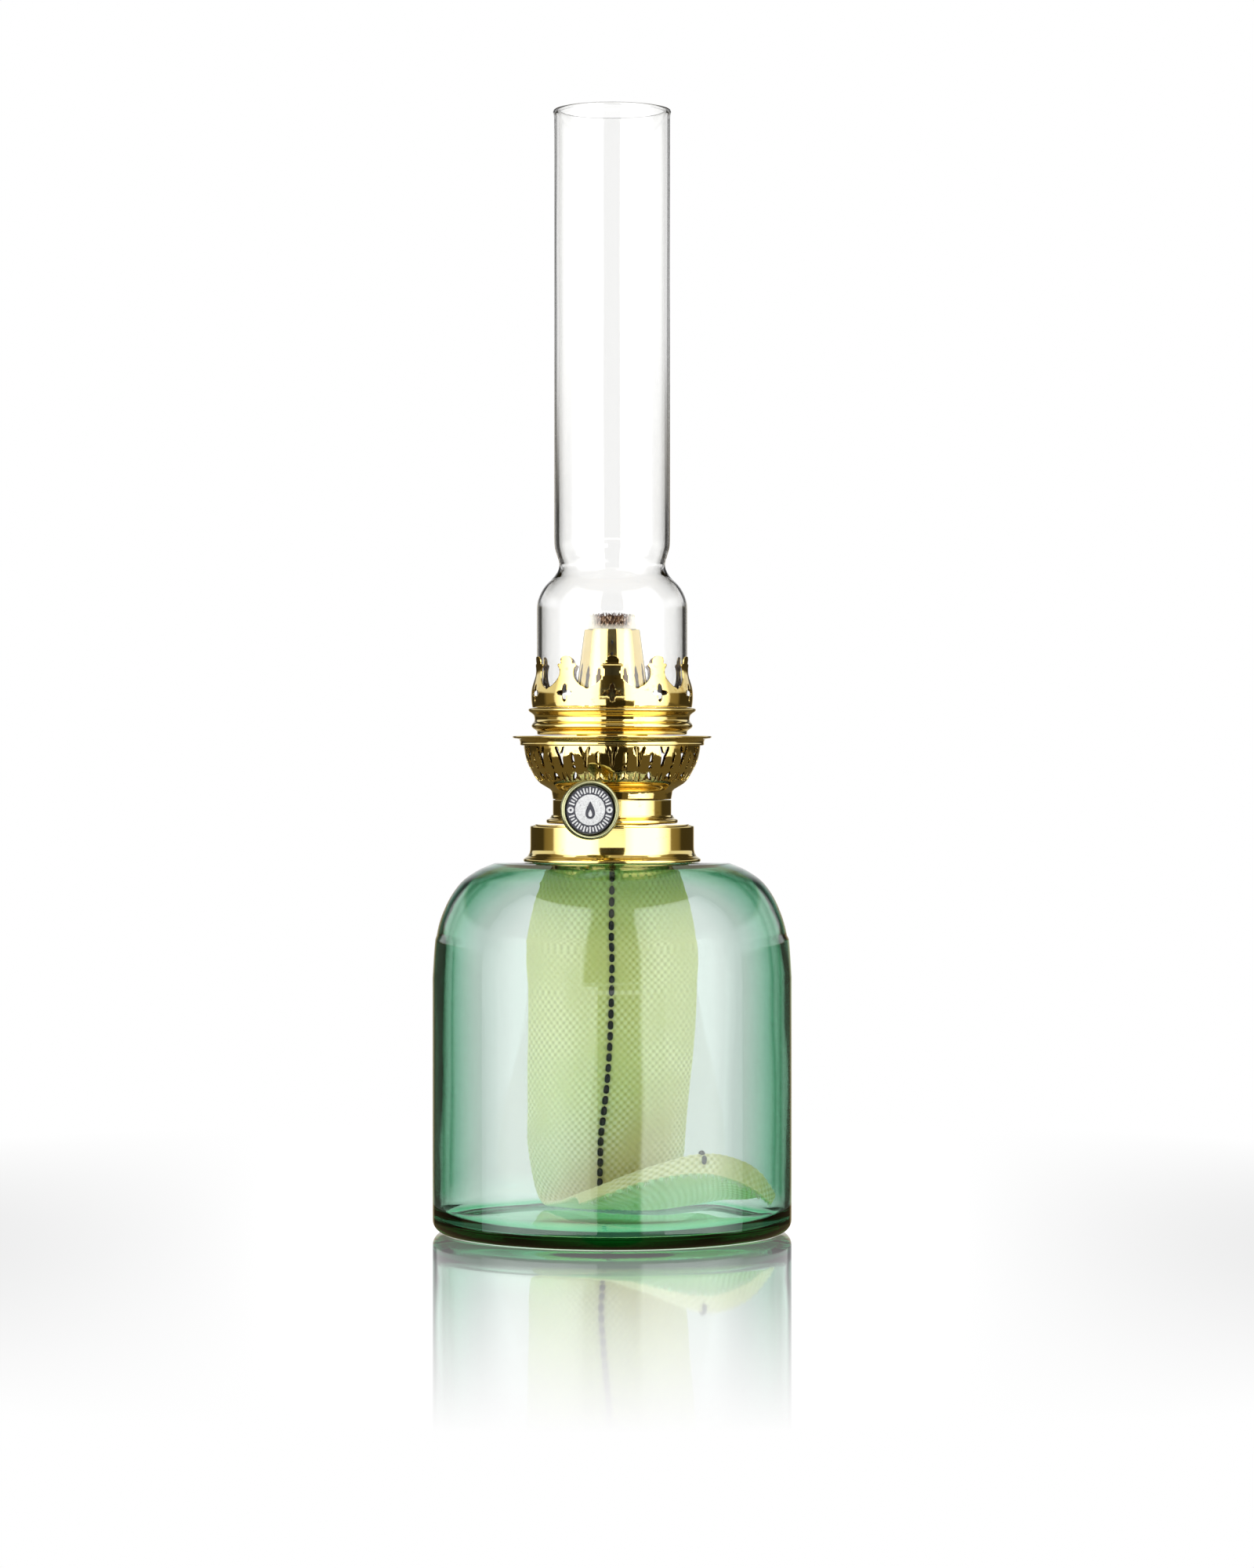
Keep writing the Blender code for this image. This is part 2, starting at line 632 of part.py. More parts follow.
def wick_station(middle, across):
    """A point across the wick, in millimetres: wrapped into the round tube, and bowed below it."""
    x, y, z = middle
    radius = -y if z >= WICK_TUBE_FOOT else WRAPPED_WICK_RADIUS
    turn = WICK_WRAP * across
    wrapped = Vector((radius * math.sin(turn), -radius * math.cos(turn), z))
    bow = WICK_TOP_BOW + (WICK_LOW_BOW - WICK_TOP_BOW) * eased(-z, -90.0, -26.0)
    bend = WICK_HALF_WIDTH / MM * across / bow
    hung = Vector((x + bow * math.sin(bend), y + bow * (1 - math.cos(bend)), z))
    return wrapped.lerp(hung, eased(-z, -WICK_TUBE_FOOT, -WICK_OPEN))


def at_place(line, place, parts):
    """A point of a smooth line, with place counted in its control points."""
    index = min(int(place * parts), len(line) - 2)
    return Vector(line[index]).lerp(Vector(line[index + 1]), place * parts - index)


def wick_point(down, across):
    """A point of the wick: down counts its rows from the top, and across is -1 to 1."""
    column = [tuple(wick_station(middle, across)) for middle in WICK_LINE]
    for row in WICK_TAIL:
        column.append(tuple(at_place(smooth_line(row, 8), (across + 1) / 2 * (len(row) - 1), 8)))
    return at_place(smooth_line(column, 8), down, 8) * MM


def wick_piece(name, start, end, rows, columns):
    work = bmesh.new()
    bmesh.ops.create_grid(work, x_segments=columns, y_segments=rows, size=1.0)
    for vert in work.verts:
        down = start + (end - start) * (vert.co.y + 1) / 2
        vert.co = wick_point(down, vert.co.x)
    item = add_object(name, mesh_from(work, name), COTTON)
    solid = item.modifiers.new("thickness", "SOLIDIFY")
    solid.thickness = WICK_THICKNESS
    solid.offset = 0.0


def wick():
    last_row = len(WICK_LINE) + len(WICK_TAIL) - 1
    wick_piece("wick_upper", 0.0, 7.3, 16, 14)
    wick_piece("wick_lower", 7.9, 9.95, 7, 10)
    wick_piece("wick_tail", 10.2, last_row, 14, 12)


font_glass()
collar()
burner_base()
air_basket()
shade_ring()
gallery()
gallery_crown()
chimney()
wick_tubes()
wheel_box()
knob()
wick()
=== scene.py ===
"""The oil lamp's looks: clear chimney, polished brass burner, green glass font and its woven wick.

The frame is in metres, +Z up, with -Y at the front. Outlines and sizes below are in millimetres unless a
name says otherwise, and MM turns them into metres where a mesh is made.
"""

import json
import random
from math import atan2, cos, dist, hypot, pi, radians, sin

import bmesh
import bpy
import numpy as np
from mathutils import Matrix, Vector
from mathutils.noise import noise


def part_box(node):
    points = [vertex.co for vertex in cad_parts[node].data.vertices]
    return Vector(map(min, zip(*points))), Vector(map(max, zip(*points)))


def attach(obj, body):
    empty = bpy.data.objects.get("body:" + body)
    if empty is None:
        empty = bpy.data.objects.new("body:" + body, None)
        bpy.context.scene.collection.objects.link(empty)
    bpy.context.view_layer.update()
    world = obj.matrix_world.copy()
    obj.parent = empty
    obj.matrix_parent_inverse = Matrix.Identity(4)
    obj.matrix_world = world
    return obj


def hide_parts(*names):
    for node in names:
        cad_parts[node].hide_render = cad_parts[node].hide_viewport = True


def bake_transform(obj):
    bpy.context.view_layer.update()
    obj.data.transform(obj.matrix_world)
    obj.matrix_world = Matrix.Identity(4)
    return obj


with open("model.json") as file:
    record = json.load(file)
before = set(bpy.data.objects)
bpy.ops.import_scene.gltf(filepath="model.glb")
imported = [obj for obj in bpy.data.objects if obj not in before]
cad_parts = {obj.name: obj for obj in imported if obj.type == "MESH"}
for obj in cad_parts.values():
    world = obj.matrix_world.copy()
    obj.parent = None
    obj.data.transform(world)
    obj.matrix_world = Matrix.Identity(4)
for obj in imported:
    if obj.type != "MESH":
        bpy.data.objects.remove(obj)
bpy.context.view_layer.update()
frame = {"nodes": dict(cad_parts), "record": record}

MM = 0.001
RECORD = frame["record"]


def top_of(node):
    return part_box(node)[1].z / MM


def foot_of(node):
    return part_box(node)[0].z / MM


def radius_of(node):
    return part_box(node)[1].x / MM


# --- Node materials


class Nodes:
    """Short calls that make and link nodes in one tree."""

    def __init__(self, tree):
        self.tree = tree

    def link(self, value, socket):
        if isinstance(value, bpy.types.NodeSocket):
            self.tree.links.new(value, socket)
        else:
            socket.default_value = value

    def node(self, kind, inputs=(), **props):
        made = self.tree.nodes.new("ShaderNode" + kind)
        for key, value in props.items():
            setattr(made, key, value)
        for key, value in dict(inputs).items():
            self.link(value, made.inputs[key])
        return made

    def ramp(self, value, stops, smooth=False):
        made = self.node("ValToRGB", {"Fac": value})
        ramp = made.color_ramp
        ramp.interpolation = "EASE" if smooth else "LINEAR"
        while len(ramp.elements) < len(stops):
            ramp.elements.new(0.5)
        for element, (place, colour) in zip(ramp.elements, stops):
            element.position = place
            element.color = (*colour, 1) if hasattr(colour, "__len__") else (colour, colour, colour, 1)
        return made.outputs["Color"]

    def mix(self, factor, first, second, blend="MIX"):
        made = self.node("Mix", data_type="RGBA", blend_type=blend)
        for socket, value in (("Factor", factor), (6, first), (7, second)):
            self.link((*value, 1) if isinstance(value, tuple) else value, made.inputs[socket])
        return made.outputs[2]

    def maths(self, operation, first, second=0, third=0):
        return self.node("Math", {0: first, 1: second, 2: third}, operation=operation).outputs[0]

    def times(self, first, second):
        return self.maths("MULTIPLY", first, second)

    def plus(self, first, second):
        return self.maths("ADD", first, second)

    def shifted(self, value, target, share):
        """The value moved towards the target, by a share."""
        return self.maths("MULTIPLY_ADD", share, self.maths("SUBTRACT", target, value), value)

    def span(self, value, low, high, to_low=0, to_high=1):
        return self.node("MapRange", {"Value": value, 1: low, 2: high, 3: to_low, 4: to_high}).outputs[0]

    def split(self, vector):
        return self.node("SeparateXYZ", {"Vector": vector}).outputs

    def round_front(self, vector):
        """The angle round the object, from 0 at the front to pi behind."""
        x, y, _ = self.split(vector)
        return self.maths("ABSOLUTE", self.maths("ARCTAN2", x, self.times(y, -1)))


class Shader(Nodes):
    """A node material and its Principled BSDF."""

    def __init__(self, name, **settings):
        self.material = bpy.data.materials.new(name)
        self.material.use_nodes = True
        super().__init__(self.material.node_tree)
        self.surface = self.tree.nodes["Principled BSDF"]
        for key, value in settings.items():
            self.to(key.replace("_", " "), value)
        self.coords = self.node("TexCoord").outputs
        self.end = self.tree.nodes["Material Output"].inputs

    def to(self, socket, value):
        self.link(value, self.surface.inputs[socket])

    def stretched(self, scale, source="Object"):
        """Coordinates scaled per axis, in repeats a metre."""
        scale = scale if isinstance(scale, tuple) else (scale, scale, scale)
        return self.node("Mapping", {"Vector": self.coords[source], "Scale": scale}).outputs[0]

    def noise(self, scale, detail, rough, source="Object"):
        vector = self.stretched(scale, source)
        made = self.node("TexNoise", {"Vector": vector, "Scale": 1, "Detail": detail, "Roughness": rough})
        return made.outputs["Fac"]

    def bump(self, height, strength, distance, normal=None):
        made = self.node("Bump", {"Height": height, "Strength": strength, "Distance": distance})
        if normal:
            self.link(normal, made.inputs["Normal"])
        return made.outputs[0]

    def finished(self, colour, normal, roughness=None):
        self.to("Base Color", colour)
        self.to("Normal", normal)
        if roughness:
            self.to("Roughness", roughness)
        return self.material

    def glow(self, strength):
        return self.node("Emission", {"Color": WHITE, "Strength": strength})

    def shown(self, share, first, second):
        """Shows a mix of two plain shaders in place of the Principled BSDF."""
        self.tree.nodes.remove(self.surface)
        both = self.node("MixShader", {"Fac": share, 1: first.outputs[0], 2: second.outputs[0]})
        self.link(both.outputs[0], self.end["Surface"])
        return self.material


def brass(name, bright, worn, roughness, age=0.5, shaded_inside=False):
    """Polished, lathe-spun brass: fine rings round the axis, soft smudges, and a browner tone in places.

    With the last argument set, the faces turned towards the lamp's axis get painted shade: dark and dull, as
    inside the burner.
    """
    made = Shader(name, Metallic=1)
    smudge = made.noise(90, 4, 0.6)
    patina = made.noise((260, 260, 420), 5, 0.65)
    spun = made.noise((30, 30, 5200), 2, 0.5)
    tone = made.ramp(made.maths("MULTIPLY_ADD", patina, 0.6, made.times(smudge, 0.4)),
                     [(0.32, worn), (0.34 + 0.2 * age, bright), (1, bright)], True)
    gloss = made.plus(made.span(smudge, 0.3, 0.75, roughness * 0.75, roughness * 1.35),
                      made.span(patina, 0.55, 0.75, 0, 0.025))
    if shaded_inside:
        # Painted shade: faces turned towards the axis go dark brown and a little duller, as shade inside the
        # burner.
        level = made.node("VectorMath", {0: made.coords["Object"], 1: (1, 1, 0)}, operation="MULTIPLY")
        out = made.node("VectorMath", {0: level.outputs[0]}, operation="NORMALIZE").outputs[0]
        facing = made.node("VectorMath", {0: made.coords["Normal"], 1: out}, operation="DOT_PRODUCT")
        inside = made.span(facing.outputs["Value"], -0.05, -0.25)
        tone = made.mix(inside, tone, (0.085, 0.042, 0.014))
        gloss = made.maths("MULTIPLY_ADD", inside, 0.35, gloss)
    return made.finished(tone, made.bump(spun, 0.012, 0.0001, made.bump(patina, 0.006, 0.0002)), gloss)


def plated_steel():
    made = Shader("plated_steel", Metallic=1)
    spots = made.noise(700, 4, 0.7)
    colour = made.ramp(spots, [(0.35, (0.34, 0.31, 0.27)), (0.62, (0.66, 0.65, 0.62))], True)
    return made.finished(colour, made.bump(spots, 0.15, 0.0001), made.span(spots, 0.3, 0.7, 0.42, 0.22))


def plaster():
    made = Shader("plaster", Roughness=0.92)
    grain = made.noise(1500, 5, 0.7)
    colour = made.ramp(grain, [(0.3, (0.62, 0.58, 0.5)), (0.7, (0.86, 0.84, 0.79))], True)
    return made.finished(colour, made.bump(grain, 0.5, 0.0003))


def glass(name, tints, waves, density, inner_tint, foot=None, shoulder=None):
    """Old pressed or blown glass: slow waves, colour that deepens with thickness, and more of it edge-on.

    tints are (how edge-on, colour) stops, from 0 where the surface faces the eye to 1 where it turns away.
    foot is the deeper colour of a thick foot, and shoulder that of the edge of a thick shoulder.
    """
    made = Shader(name, Roughness=0, IOR=1.5, Transmission_Weight=1)
    slow = made.noise((22, 22, 9), 2, 0.5)
    fine = made.noise((160, 160, 60), 2, 0.5)
    made.to("Normal", made.bump(slow, waves, 0.004, made.bump(fine, waves * 0.4, 0.0006)))
    edge_on = made.node("LayerWeight", {"Blend": 0.5}).outputs["Facing"]
    tint = made.ramp(edge_on, tints)
    if foot:
        height = made.split(made.coords["Object"])[2]
        tint = made.mix(made.span(height, 0.016, 0.009, 0, 0.75), tint, (0.86, 0.93, 0.89))
        tint = made.mix(made.span(height, 0.0045, 0.0015), tint, foot)
        edge = made.times(made.span(height, 0.098, 0.108), made.span(edge_on, 0.6, 0.8))
        tint = made.mix(edge, tint, shoulder)
    made.to("Base Color", tint)
    volume = made.node("VolumeAbsorption", {"Color": (*inner_tint, 1), "Density": density})
    made.link(volume.outputs[0], made.end["Volume"])
    return made.material


def wick_cotton():
    """Loose cotton: the mesh has the diamond cells, and this adds yarns, oil stains, the charred end, painted
    shade in the cells' hollows and a painted band of shade under the burner.
    """
    made = Shader("wick_cotton", Roughness=0.95, Specular_IOR_Level=0.25, Sheen_Weight=0.25,
                  Subsurface_Weight=0.12, Subsurface_Radius=(0.002, 0.0018, 0.001))
    across, down, _ = made.split(made.coords["UV"])

    def wave(shape, along, length):
        return made.maths(shape, made.times(along, 2 * pi / length))

    yarns = made.times(wave("SINE", across, 0.66), wave("SINE", down, 0.75))
    cell = made.times(wave("COSINE", across, CELL_WIDTH), wave("COSINE", down, CELL_HEIGHT))
    fuzz = made.noise(1.7, 5, 0.7, "UV")
    stain = made.noise((0.05, 0.03, 1), 3, 0.55, "UV")
    # Painted shade: the hollows of the weave cells are coloured darker and their crowns paler, in step with the
    # raised cells of the mesh.
    pale = made.ramp(made.plus(made.times(cell, 0.45), 0.5),
                     [(0, (0.6, 0.56, 0.3)), (0.42, (0.86, 0.82, 0.52)), (0.8, (1, 0.98, 0.82))], True)
    soaked = made.mix(made.span(stain, 0.42, 0.62), pale, (0.83, 0.8, 0.48))
    # Down the wick: white dry cotton at the top, then a painted dark green band of shade where the wick passes
    # under the burner and collar, then the yellow of oil-soaked cotton lower down.
    oil = made.ramp(made.maths("DIVIDE", down, WICK_LENGTH),
                    [(0.12, (1, 0.98, 0.92)), (0.28, (0.27, 0.54, 0.07)), (0.45, (0.86, 0.87, 0.5)),
                     (0.62, (0.93, 0.92, 0.6)), (0.74, (1, 0.93, 0.78))], True)
    oiled_and_shaded = made.mix(1, soaked, oil, "MULTIPLY")
    clean = made.mix(made.span(fuzz, 0.35, 0.7, 0, 0.2), oiled_and_shaded, (0.8, 0.84, 0.55))
    aside = made.maths("ABSOLUTE", made.split(made.coords["Object"])[0])
    scorch = made.span(made.maths("MULTIPLY_ADD", fuzz, 1.5, down), 3.4, 5.4, 1, 0)
    scorched = made.times(scorch, made.span(aside, 0.005, 0.0075, 1, 0))
    streaks = made.noise((0.9, 0.55, 1), 5, 0.8, "UV")
    char = made.ramp(streaks, [(0.46, (0.01, 0.005, 0.003)), (0.52, (0.1, 0.034, 0.01)),
                               (0.56, (0.46, 0.28, 0.14)), (0.63, (0.88, 0.82, 0.74))])
    dry = made.mix(made.span(down, 30, 60, 0.75, 0), clean, (0.72, 0.7, 0.65))
    normal = made.bump(yarns, 0.35, 0.00025, made.bump(fuzz, 0.3, 0.0003))
    return made.finished(made.mix(scorched, dry, char), normal)


def thread(name, dark, light):
    made = Shader(name, Roughness=0.85)
    twist = made.node("TexWave", {"Vector": made.stretched((1, 1, 1.3)), "Scale": 900, "Distortion": 2})
    twist = twist.outputs["Fac"]
    return made.finished(made.mix(twist, dark, light), made.bump(twist, 0.5, 0.0002))


def printed_tin(name, low, high):
    """Stamped and printed tin plate, with a sandy grain in the print."""
    made = Shader(name, Metallic=0, Specular_IOR_Level=0.3)
    grain = made.noise(3800, 4, 0.8)
    rubbed = made.noise(500, 3, 0.6)
    return made.finished(made.ramp(grain, [(0.38, low), (0.56, high)], True), made.bump(grain, 0.35, 0.0001),
                         made.span(rubbed, 0.3, 0.7, 0.42, 0.62))


# --- Mesh making


def linked(name, data):
    """A new object in the scene."""
    item = bpy.data.objects.new(name, data)
    bpy.context.scene.collection.objects.link(item)
    return item


def mesh_from(work, name):
    """The mesh of a bmesh, with its faces turned outward."""
    bmesh.ops.recalc_face_normals(work, faces=work.faces)
    mesh = bpy.data.meshes.new(name)
    work.to_mesh(mesh)
    work.free()
    return mesh


def final_mesh(item):
    """A new mesh of the item as its modifiers leave it."""
    bpy.context.view_layer.update()
    return bpy.data.meshes.new_from_object(item.evaluated_get(bpy.context.evaluated_depsgraph_get()))


def keep_final(item):
    """Applies the item's modifiers."""
    mesh = final_mesh(item)
    item.modifiers.clear()
    item.data = mesh


def sharpen(item, degrees=35):
    item.data.set_sharp_from_angle(angle=radians(degrees))


def dressed(item, material, body=None, replaces=()):
    """Gives a piece its material, and says what it rides on and stands for."""
    item.data.materials.append(material)
    if body:
        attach(item, body)
    if replaces:
        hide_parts(*replaces)
    return item


def mesh_piece(name, verts, faces, material, body=None, slot=None, replaces=(), sharp=35, uv=None):
    """Makes one shown piece from points in metres."""
    mesh = bpy.data.meshes.new(name)
    mesh.from_pydata(verts, [], faces)
    if uv is not None:
        layer = mesh.uv_layers.new(name="cloth")
        corners = np.empty(len(mesh.loops), dtype=np.int32)
        mesh.loops.foreach_get("vertex_index", corners)
        layer.data.foreach_set("uv", np.asarray(uv, dtype=np.float32)[corners].ravel())
    work = bmesh.new()
    work.from_mesh(mesh)
    bmesh.ops.recalc_face_normals(work, faces=work.faces)
    work.to_mesh(mesh)
    work.free()
    mesh.shade_smooth()
    item = linked(name, mesh)
    sharpen(item, sharp)
    return dressed(item, material, body, replaces)


def turns(count):
    return [2 * pi * index / count for index in range(count)]


def around(radius, turn, height):
    """A point round the lamp's axis, with 0 at the front."""
    return Vector((radius * sin(turn), -radius * cos(turn), height))


def at(x, y, z):
    """A move by millimetres."""
    return Matrix.Translation((x * MM, y * MM, z * MM))


def pushed(point, push):
    """The point moved out from the lamp's axis."""
    share = 1 + push / hypot(point.x, point.y)
    return Vector((point.x * share, point.y * share, point.z))


def ring_faces(first, second):
    """The faces between two rings of as many points."""
    return list(zip(first, first[1:] + first[:1], second[1:] + second[:1], second))


def grid_faces(rows, columns):
    wide = columns + 1
    return [(a, a + 1, a + wide + 1, a + wide) for row in range(rows)
            for a in range(row * wide, row * wide + columns)]


def smooth_line(points, parts):
    """A Catmull-Rom curve through the given points, with a number of parts between each two."""
    line = []
    padded = [points[0]] + list(points) + [points[-1]]
    for before, start, end, after in zip(padded, padded[1:], padded[2:], padded[3:]):
        for step in range(parts):
            t = step / parts
            line.append(tuple(
                0.5 * (2 * b + (c - a) * t + (2 * a - 5 * b + 4 * c - d) * t * t
                       + (3 * b - a - 3 * c + d) * t ** 3)
                for a, b, c, d in zip(before, start, end, after)))
    line.append(tuple(points[-1]))
    return line


def arc(radius_at, height_at, size, start_deg, end_deg, points=8):
    """Points on an arc in the (radius, height) plane."""
    made = []
    for index in range(points):
        turn = radians(start_deg + (end_deg - start_deg) * index / (points - 1))
        made.append((radius_at + size * cos(turn), height_at + size * sin(turn)))
    return made


LONG_FLAT = 1
FLAT_EDGE = 0.06


def rounded(outline, size=0.15, parts=3):
    """The closed (radius, height) outline with each corner rounded off; points on the axis stay.

    A point just past each corner keeps the shading of long flat parts flat.
    """
    made = []
    count = len(outline)
    for index, corner in enumerate(outline):
        here = Vector(corner)
        before, after = Vector(outline[index - 1]), Vector(outline[(index + 1) % count])
        if corner[0] == 0:
            made.append(corner)
            continue
        back, ahead = before - here, after - here
        reach = min(size, 0.45 * back.length, 0.45 * ahead.length)
        start, end = here + back.normalized() * reach, here + ahead.normalized() * reach
        if back.length > LONG_FLAT:
            made.append(tuple(start + back.normalized() * FLAT_EDGE))
        for step in range(parts + 1):
            t = step / parts
            made.append(tuple(start.lerp(here, t).lerp(here.lerp(end, t), t)))
        if ahead.length > LONG_FLAT:
            made.append(tuple(end + ahead.normalized() * FLAT_EDGE))
    return made


def turned(name, outline, material, node=None, body="burner", slot="brass", steps=128, place=None,
           ripple=None, sharp=35):
    """A turned piece from a closed (radius, height) outline in millimetres, that stands for a node."""
    place = place or Matrix.Identity(4)
    verts, rings = [], []
    for radius, height in outline:
        ring = []
        for turn in turns(steps) if radius > 0 else [0]:
            point = around(radius, turn, height)
            if ripple:
                point = ripple(point)
            ring.append(len(verts))
            verts.append(place @ (point * MM))
        rings.append(ring if radius > 0 else ring * steps)
    faces = []
    for upper, lower in zip(rings, rings[1:] + rings[:1]):
        for corners in ring_faces(upper, lower):
            corners = list(dict.fromkeys(corners))
            if len(corners) > 2:
                faces.append(corners)
    return mesh_piece(name, verts, faces, material, body, slot, (node,) if node else (), sharp)


def boolean(item, cutter, operation="DIFFERENCE"):
    """Cuts the piece and keeps the result as its mesh, so no cutter is left in the scene."""
    modifier = item.modifiers.new("cut", "BOOLEAN")
    modifier.operation = operation
    modifier.solver = "EXACT"
    modifier.object = cutter
    keep_final(item)
    bpy.data.objects.remove(cutter, do_unlink=True)


def disc(work, sides, wide, narrow, depth, place):
    """Adds a round plug, in millimetres, to a bmesh."""
    bmesh.ops.create_cone(work, cap_ends=True, segments=sides, radius1=wide * MM, radius2=narrow * MM,
                          depth=depth * MM, matrix=place)


def box_cutter(low, high, turn=0):
    work = bmesh.new()
    low, high = Vector(low) * MM, Vector(high) * MM
    place = (Matrix.Rotation(turn, 4, "Z") @ Matrix.Translation((low + high) / 2)
             @ Matrix.Diagonal((*(high - low), 1)))
    bmesh.ops.create_cube(work, size=1, matrix=place)
    return linked("box_cutter", mesh_from(work, "box_cutter"))


def rod_cutter(radius, start, end, place, sides=48):
    work = bmesh.new()
    disc(work, sides, radius, radius, end - start, place @ at(0, 0, (start + end) / 2))
    return linked("rod_cutter", mesh_from(work, "rod_cutter"))


def tube_along(points, radius, sides=8):
    """Points and faces of a round rod along a line, with its ends drawn in like a thread's."""
    verts, faces = [], []
    count = len(points)
    for index, point in enumerate(points):
        ahead = points[min(index + 1, count - 1)] - points[max(index - 1, 0)]
        side = ahead.cross(Vector((0.3, 0.2, 1)) if abs(ahead.normalized().z) < 0.9 else Vector((1, 0, 0)))
        side.normalize()
        other = ahead.cross(side).normalized()
        fade = min(1, 0.45 + 1.4 * min(index, count - 1 - index) / max(count - 1, 1) * 2)
        for turn in turns(sides):
            verts.append(point + (side * cos(turn) + other * sin(turn)) * radius * fade)
    rings = [list(range(start, start + sides)) for start in range(0, count * sides, sides)]
    for first, second in zip(rings, rings[1:]):
        faces += ring_faces(first, second)
    return verts, faces + [rings[0], rings[-1][::-1]]


def many_tubes(name, lines, radius, material, sides=8, **facts):
    verts, faces = [], []
    for points in lines:
        some_verts, some_faces = tube_along(points, radius, sides)
        start = len(verts)
        verts += some_verts
        faces += [tuple(start + corner for corner in face) for face in some_faces]
    return mesh_piece(name, verts, faces, material, sharp=60, **facts)


def flat_pattern(outlines, width, heights, step):
    """The filled 2D pattern (x, z in mm), cut into strips so that it can bend round the axis."""
    curve = bpy.data.curves.new("pattern", "CURVE")
    curve.dimensions = "2D"
    curve.fill_mode = "BOTH"
    for outline in outlines:
        spline = curve.splines.new("POLY")
        spline.points.add(len(outline) - 1)
        spline.points.foreach_set("co", [value for x, z in outline for value in (x, z, 0, 1)])
        spline.use_cyclic_u = True
    item = linked("pattern", curve)
    mesh = final_mesh(item)
    bpy.data.objects.remove(item, do_unlink=True)
    work = bmesh.new()
    work.from_mesh(mesh)
    bpy.data.meshes.remove(mesh)
    bmesh.ops.remove_doubles(work, verts=work.verts, dist=0.001)
    cuts = [((x, 0, 0), (1, 0, 0)) for x in np.arange(-width / 2 + step, width / 2 - step / 2, step)]
    cuts += [((0, z, 0), (0, 1, 0)) for z in heights]
    for place, normal in cuts:
        everything = list(work.verts) + list(work.edges) + list(work.faces)
        bmesh.ops.bisect_plane(work, geom=everything, plane_co=place, plane_no=normal, dist=0.0005)
    return work


def pierced_band(name, outlines, repeats, profile, heights, step, body, node, phase=0):
    """A turned sheet-metal band pierced by a repeating pattern. profile(z) is its radius in millimetres.

    One repeat of the pattern is PATTERN wide, and phase turns it by a share of a repeat.
    """
    work = flat_pattern(outlines, PATTERN, heights, step)
    flat_verts = [vert.co.copy() for vert in work.verts]
    work.verts.index_update()
    flat_faces = [[vert.index for vert in face.verts] for face in work.faces]
    work.free()
    bent = bmesh.new()
    for repeat in range(repeats):
        made = []
        for point in flat_verts:
            turn = 2 * pi * (repeat + phase + point.x / PATTERN) / repeats
            made.append(bent.verts.new(around(profile(point.y), turn, point.y) * MM))
        for corners in flat_faces:
            bent.faces.new([made[corner] for corner in corners])
    bmesh.ops.remove_doubles(bent, verts=bent.verts, dist=0.000004)
    bmesh.ops.recalc_face_normals(bent, faces=bent.faces)
    outward = sum(face.normal.dot(Vector((face.calc_center_median().x, face.calc_center_median().y, 0)))
                  for face in bent.faces)
    if outward < 0:
        bmesh.ops.reverse_faces(bent, faces=bent.faces)
    mesh = bpy.data.meshes.new(name)
    bent.to_mesh(mesh)
    bent.free()
    item = linked(name, mesh)
    mesh.materials.append(BURNER_BRASS)
    solid = item.modifiers.new("sheet", "SOLIDIFY")
    solid.thickness = BAND_THICKNESS * MM
    solid.offset = -1
    edge = item.modifiers.new("edge", "BEVEL")
    edge.width = 0.09 * MM
    edge.segments = 2
    edge.limit_method = "ANGLE"
    edge.angle_limit = radians(50)
    keep_final(item)
    item.data.shade_smooth()
    sharpen(item, 40)
    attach(item, body)
    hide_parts(node)


PATTERN = 10
BAND_THICKNESS = 0.45
WICK_LENGTH = 270
CELL_WIDTH = 2.6
CELL_HEIGHT = 3.1

BRASS = brass("polished_brass", (0.84, 0.67, 0.25), (0.72, 0.53, 0.15), 0.065, 0.4)
# The burner's brass carries painted shade on its inward faces.
BURNER_BRASS = brass("burner_brass", (0.82, 0.64, 0.24), (0.64, 0.43, 0.11), 0.065, 0.6, True)
DULL_BRASS = brass("dull_brass", (0.66, 0.46, 0.2), (0.28, 0.15, 0.06), 0.3, 0.8)
KNOB_BRASS = brass("knob_brass", (0.3, 0.3, 0.17), (0.14, 0.14, 0.07), 0.28, 0.8)
STEEL = plated_steel()
FONT_TINTS = [(0.2, (0.82, 0.8, 0.805)), (0.36, (0.82, 0.86, 0.845)), (0.51, (0.55, 0.83, 0.7)),
              (0.6, (0.38, 0.75, 0.54)), (0.655, (0.07, 0.42, 0.2)), (0.7, (0.48, 0.87, 0.66)),
              (0.82, (0.54, 0.98, 0.72))]
FONT_GLASS = glass("green_glass", FONT_TINTS, 0.04, 70, (0.08, 0.66, 0.42), (0.08, 0.62, 0.26),
                   (0.1, 0.46, 0.25))
CHIMNEY_TINTS = [(0.3, (0.995, 0.995, 0.99)), (0.55, (0.98, 0.98, 0.97)), (0.75, (0.82, 0.81, 0.79)),
                 (0.95, (0.6, 0.59, 0.56))]
CHIMNEY_GLASS = glass("clear_glass", CHIMNEY_TINTS, 0.012, 8, (0.5, 0.5, 0.46))
COTTON = wick_cotton()
BLACK_THREAD = thread("black_thread", (0.012, 0.012, 0.014), (0.035, 0.035, 0.04))
PALE_THREAD = thread("pale_thread", (0.6, 0.56, 0.4), (0.86, 0.83, 0.68))


# --- Glass


SHOULDER = [(41.4, 130.4), (47.8, 127.6), (54, 122.9), (59.3, 114.8), (62.4, 104.8), (63.6, 90)]


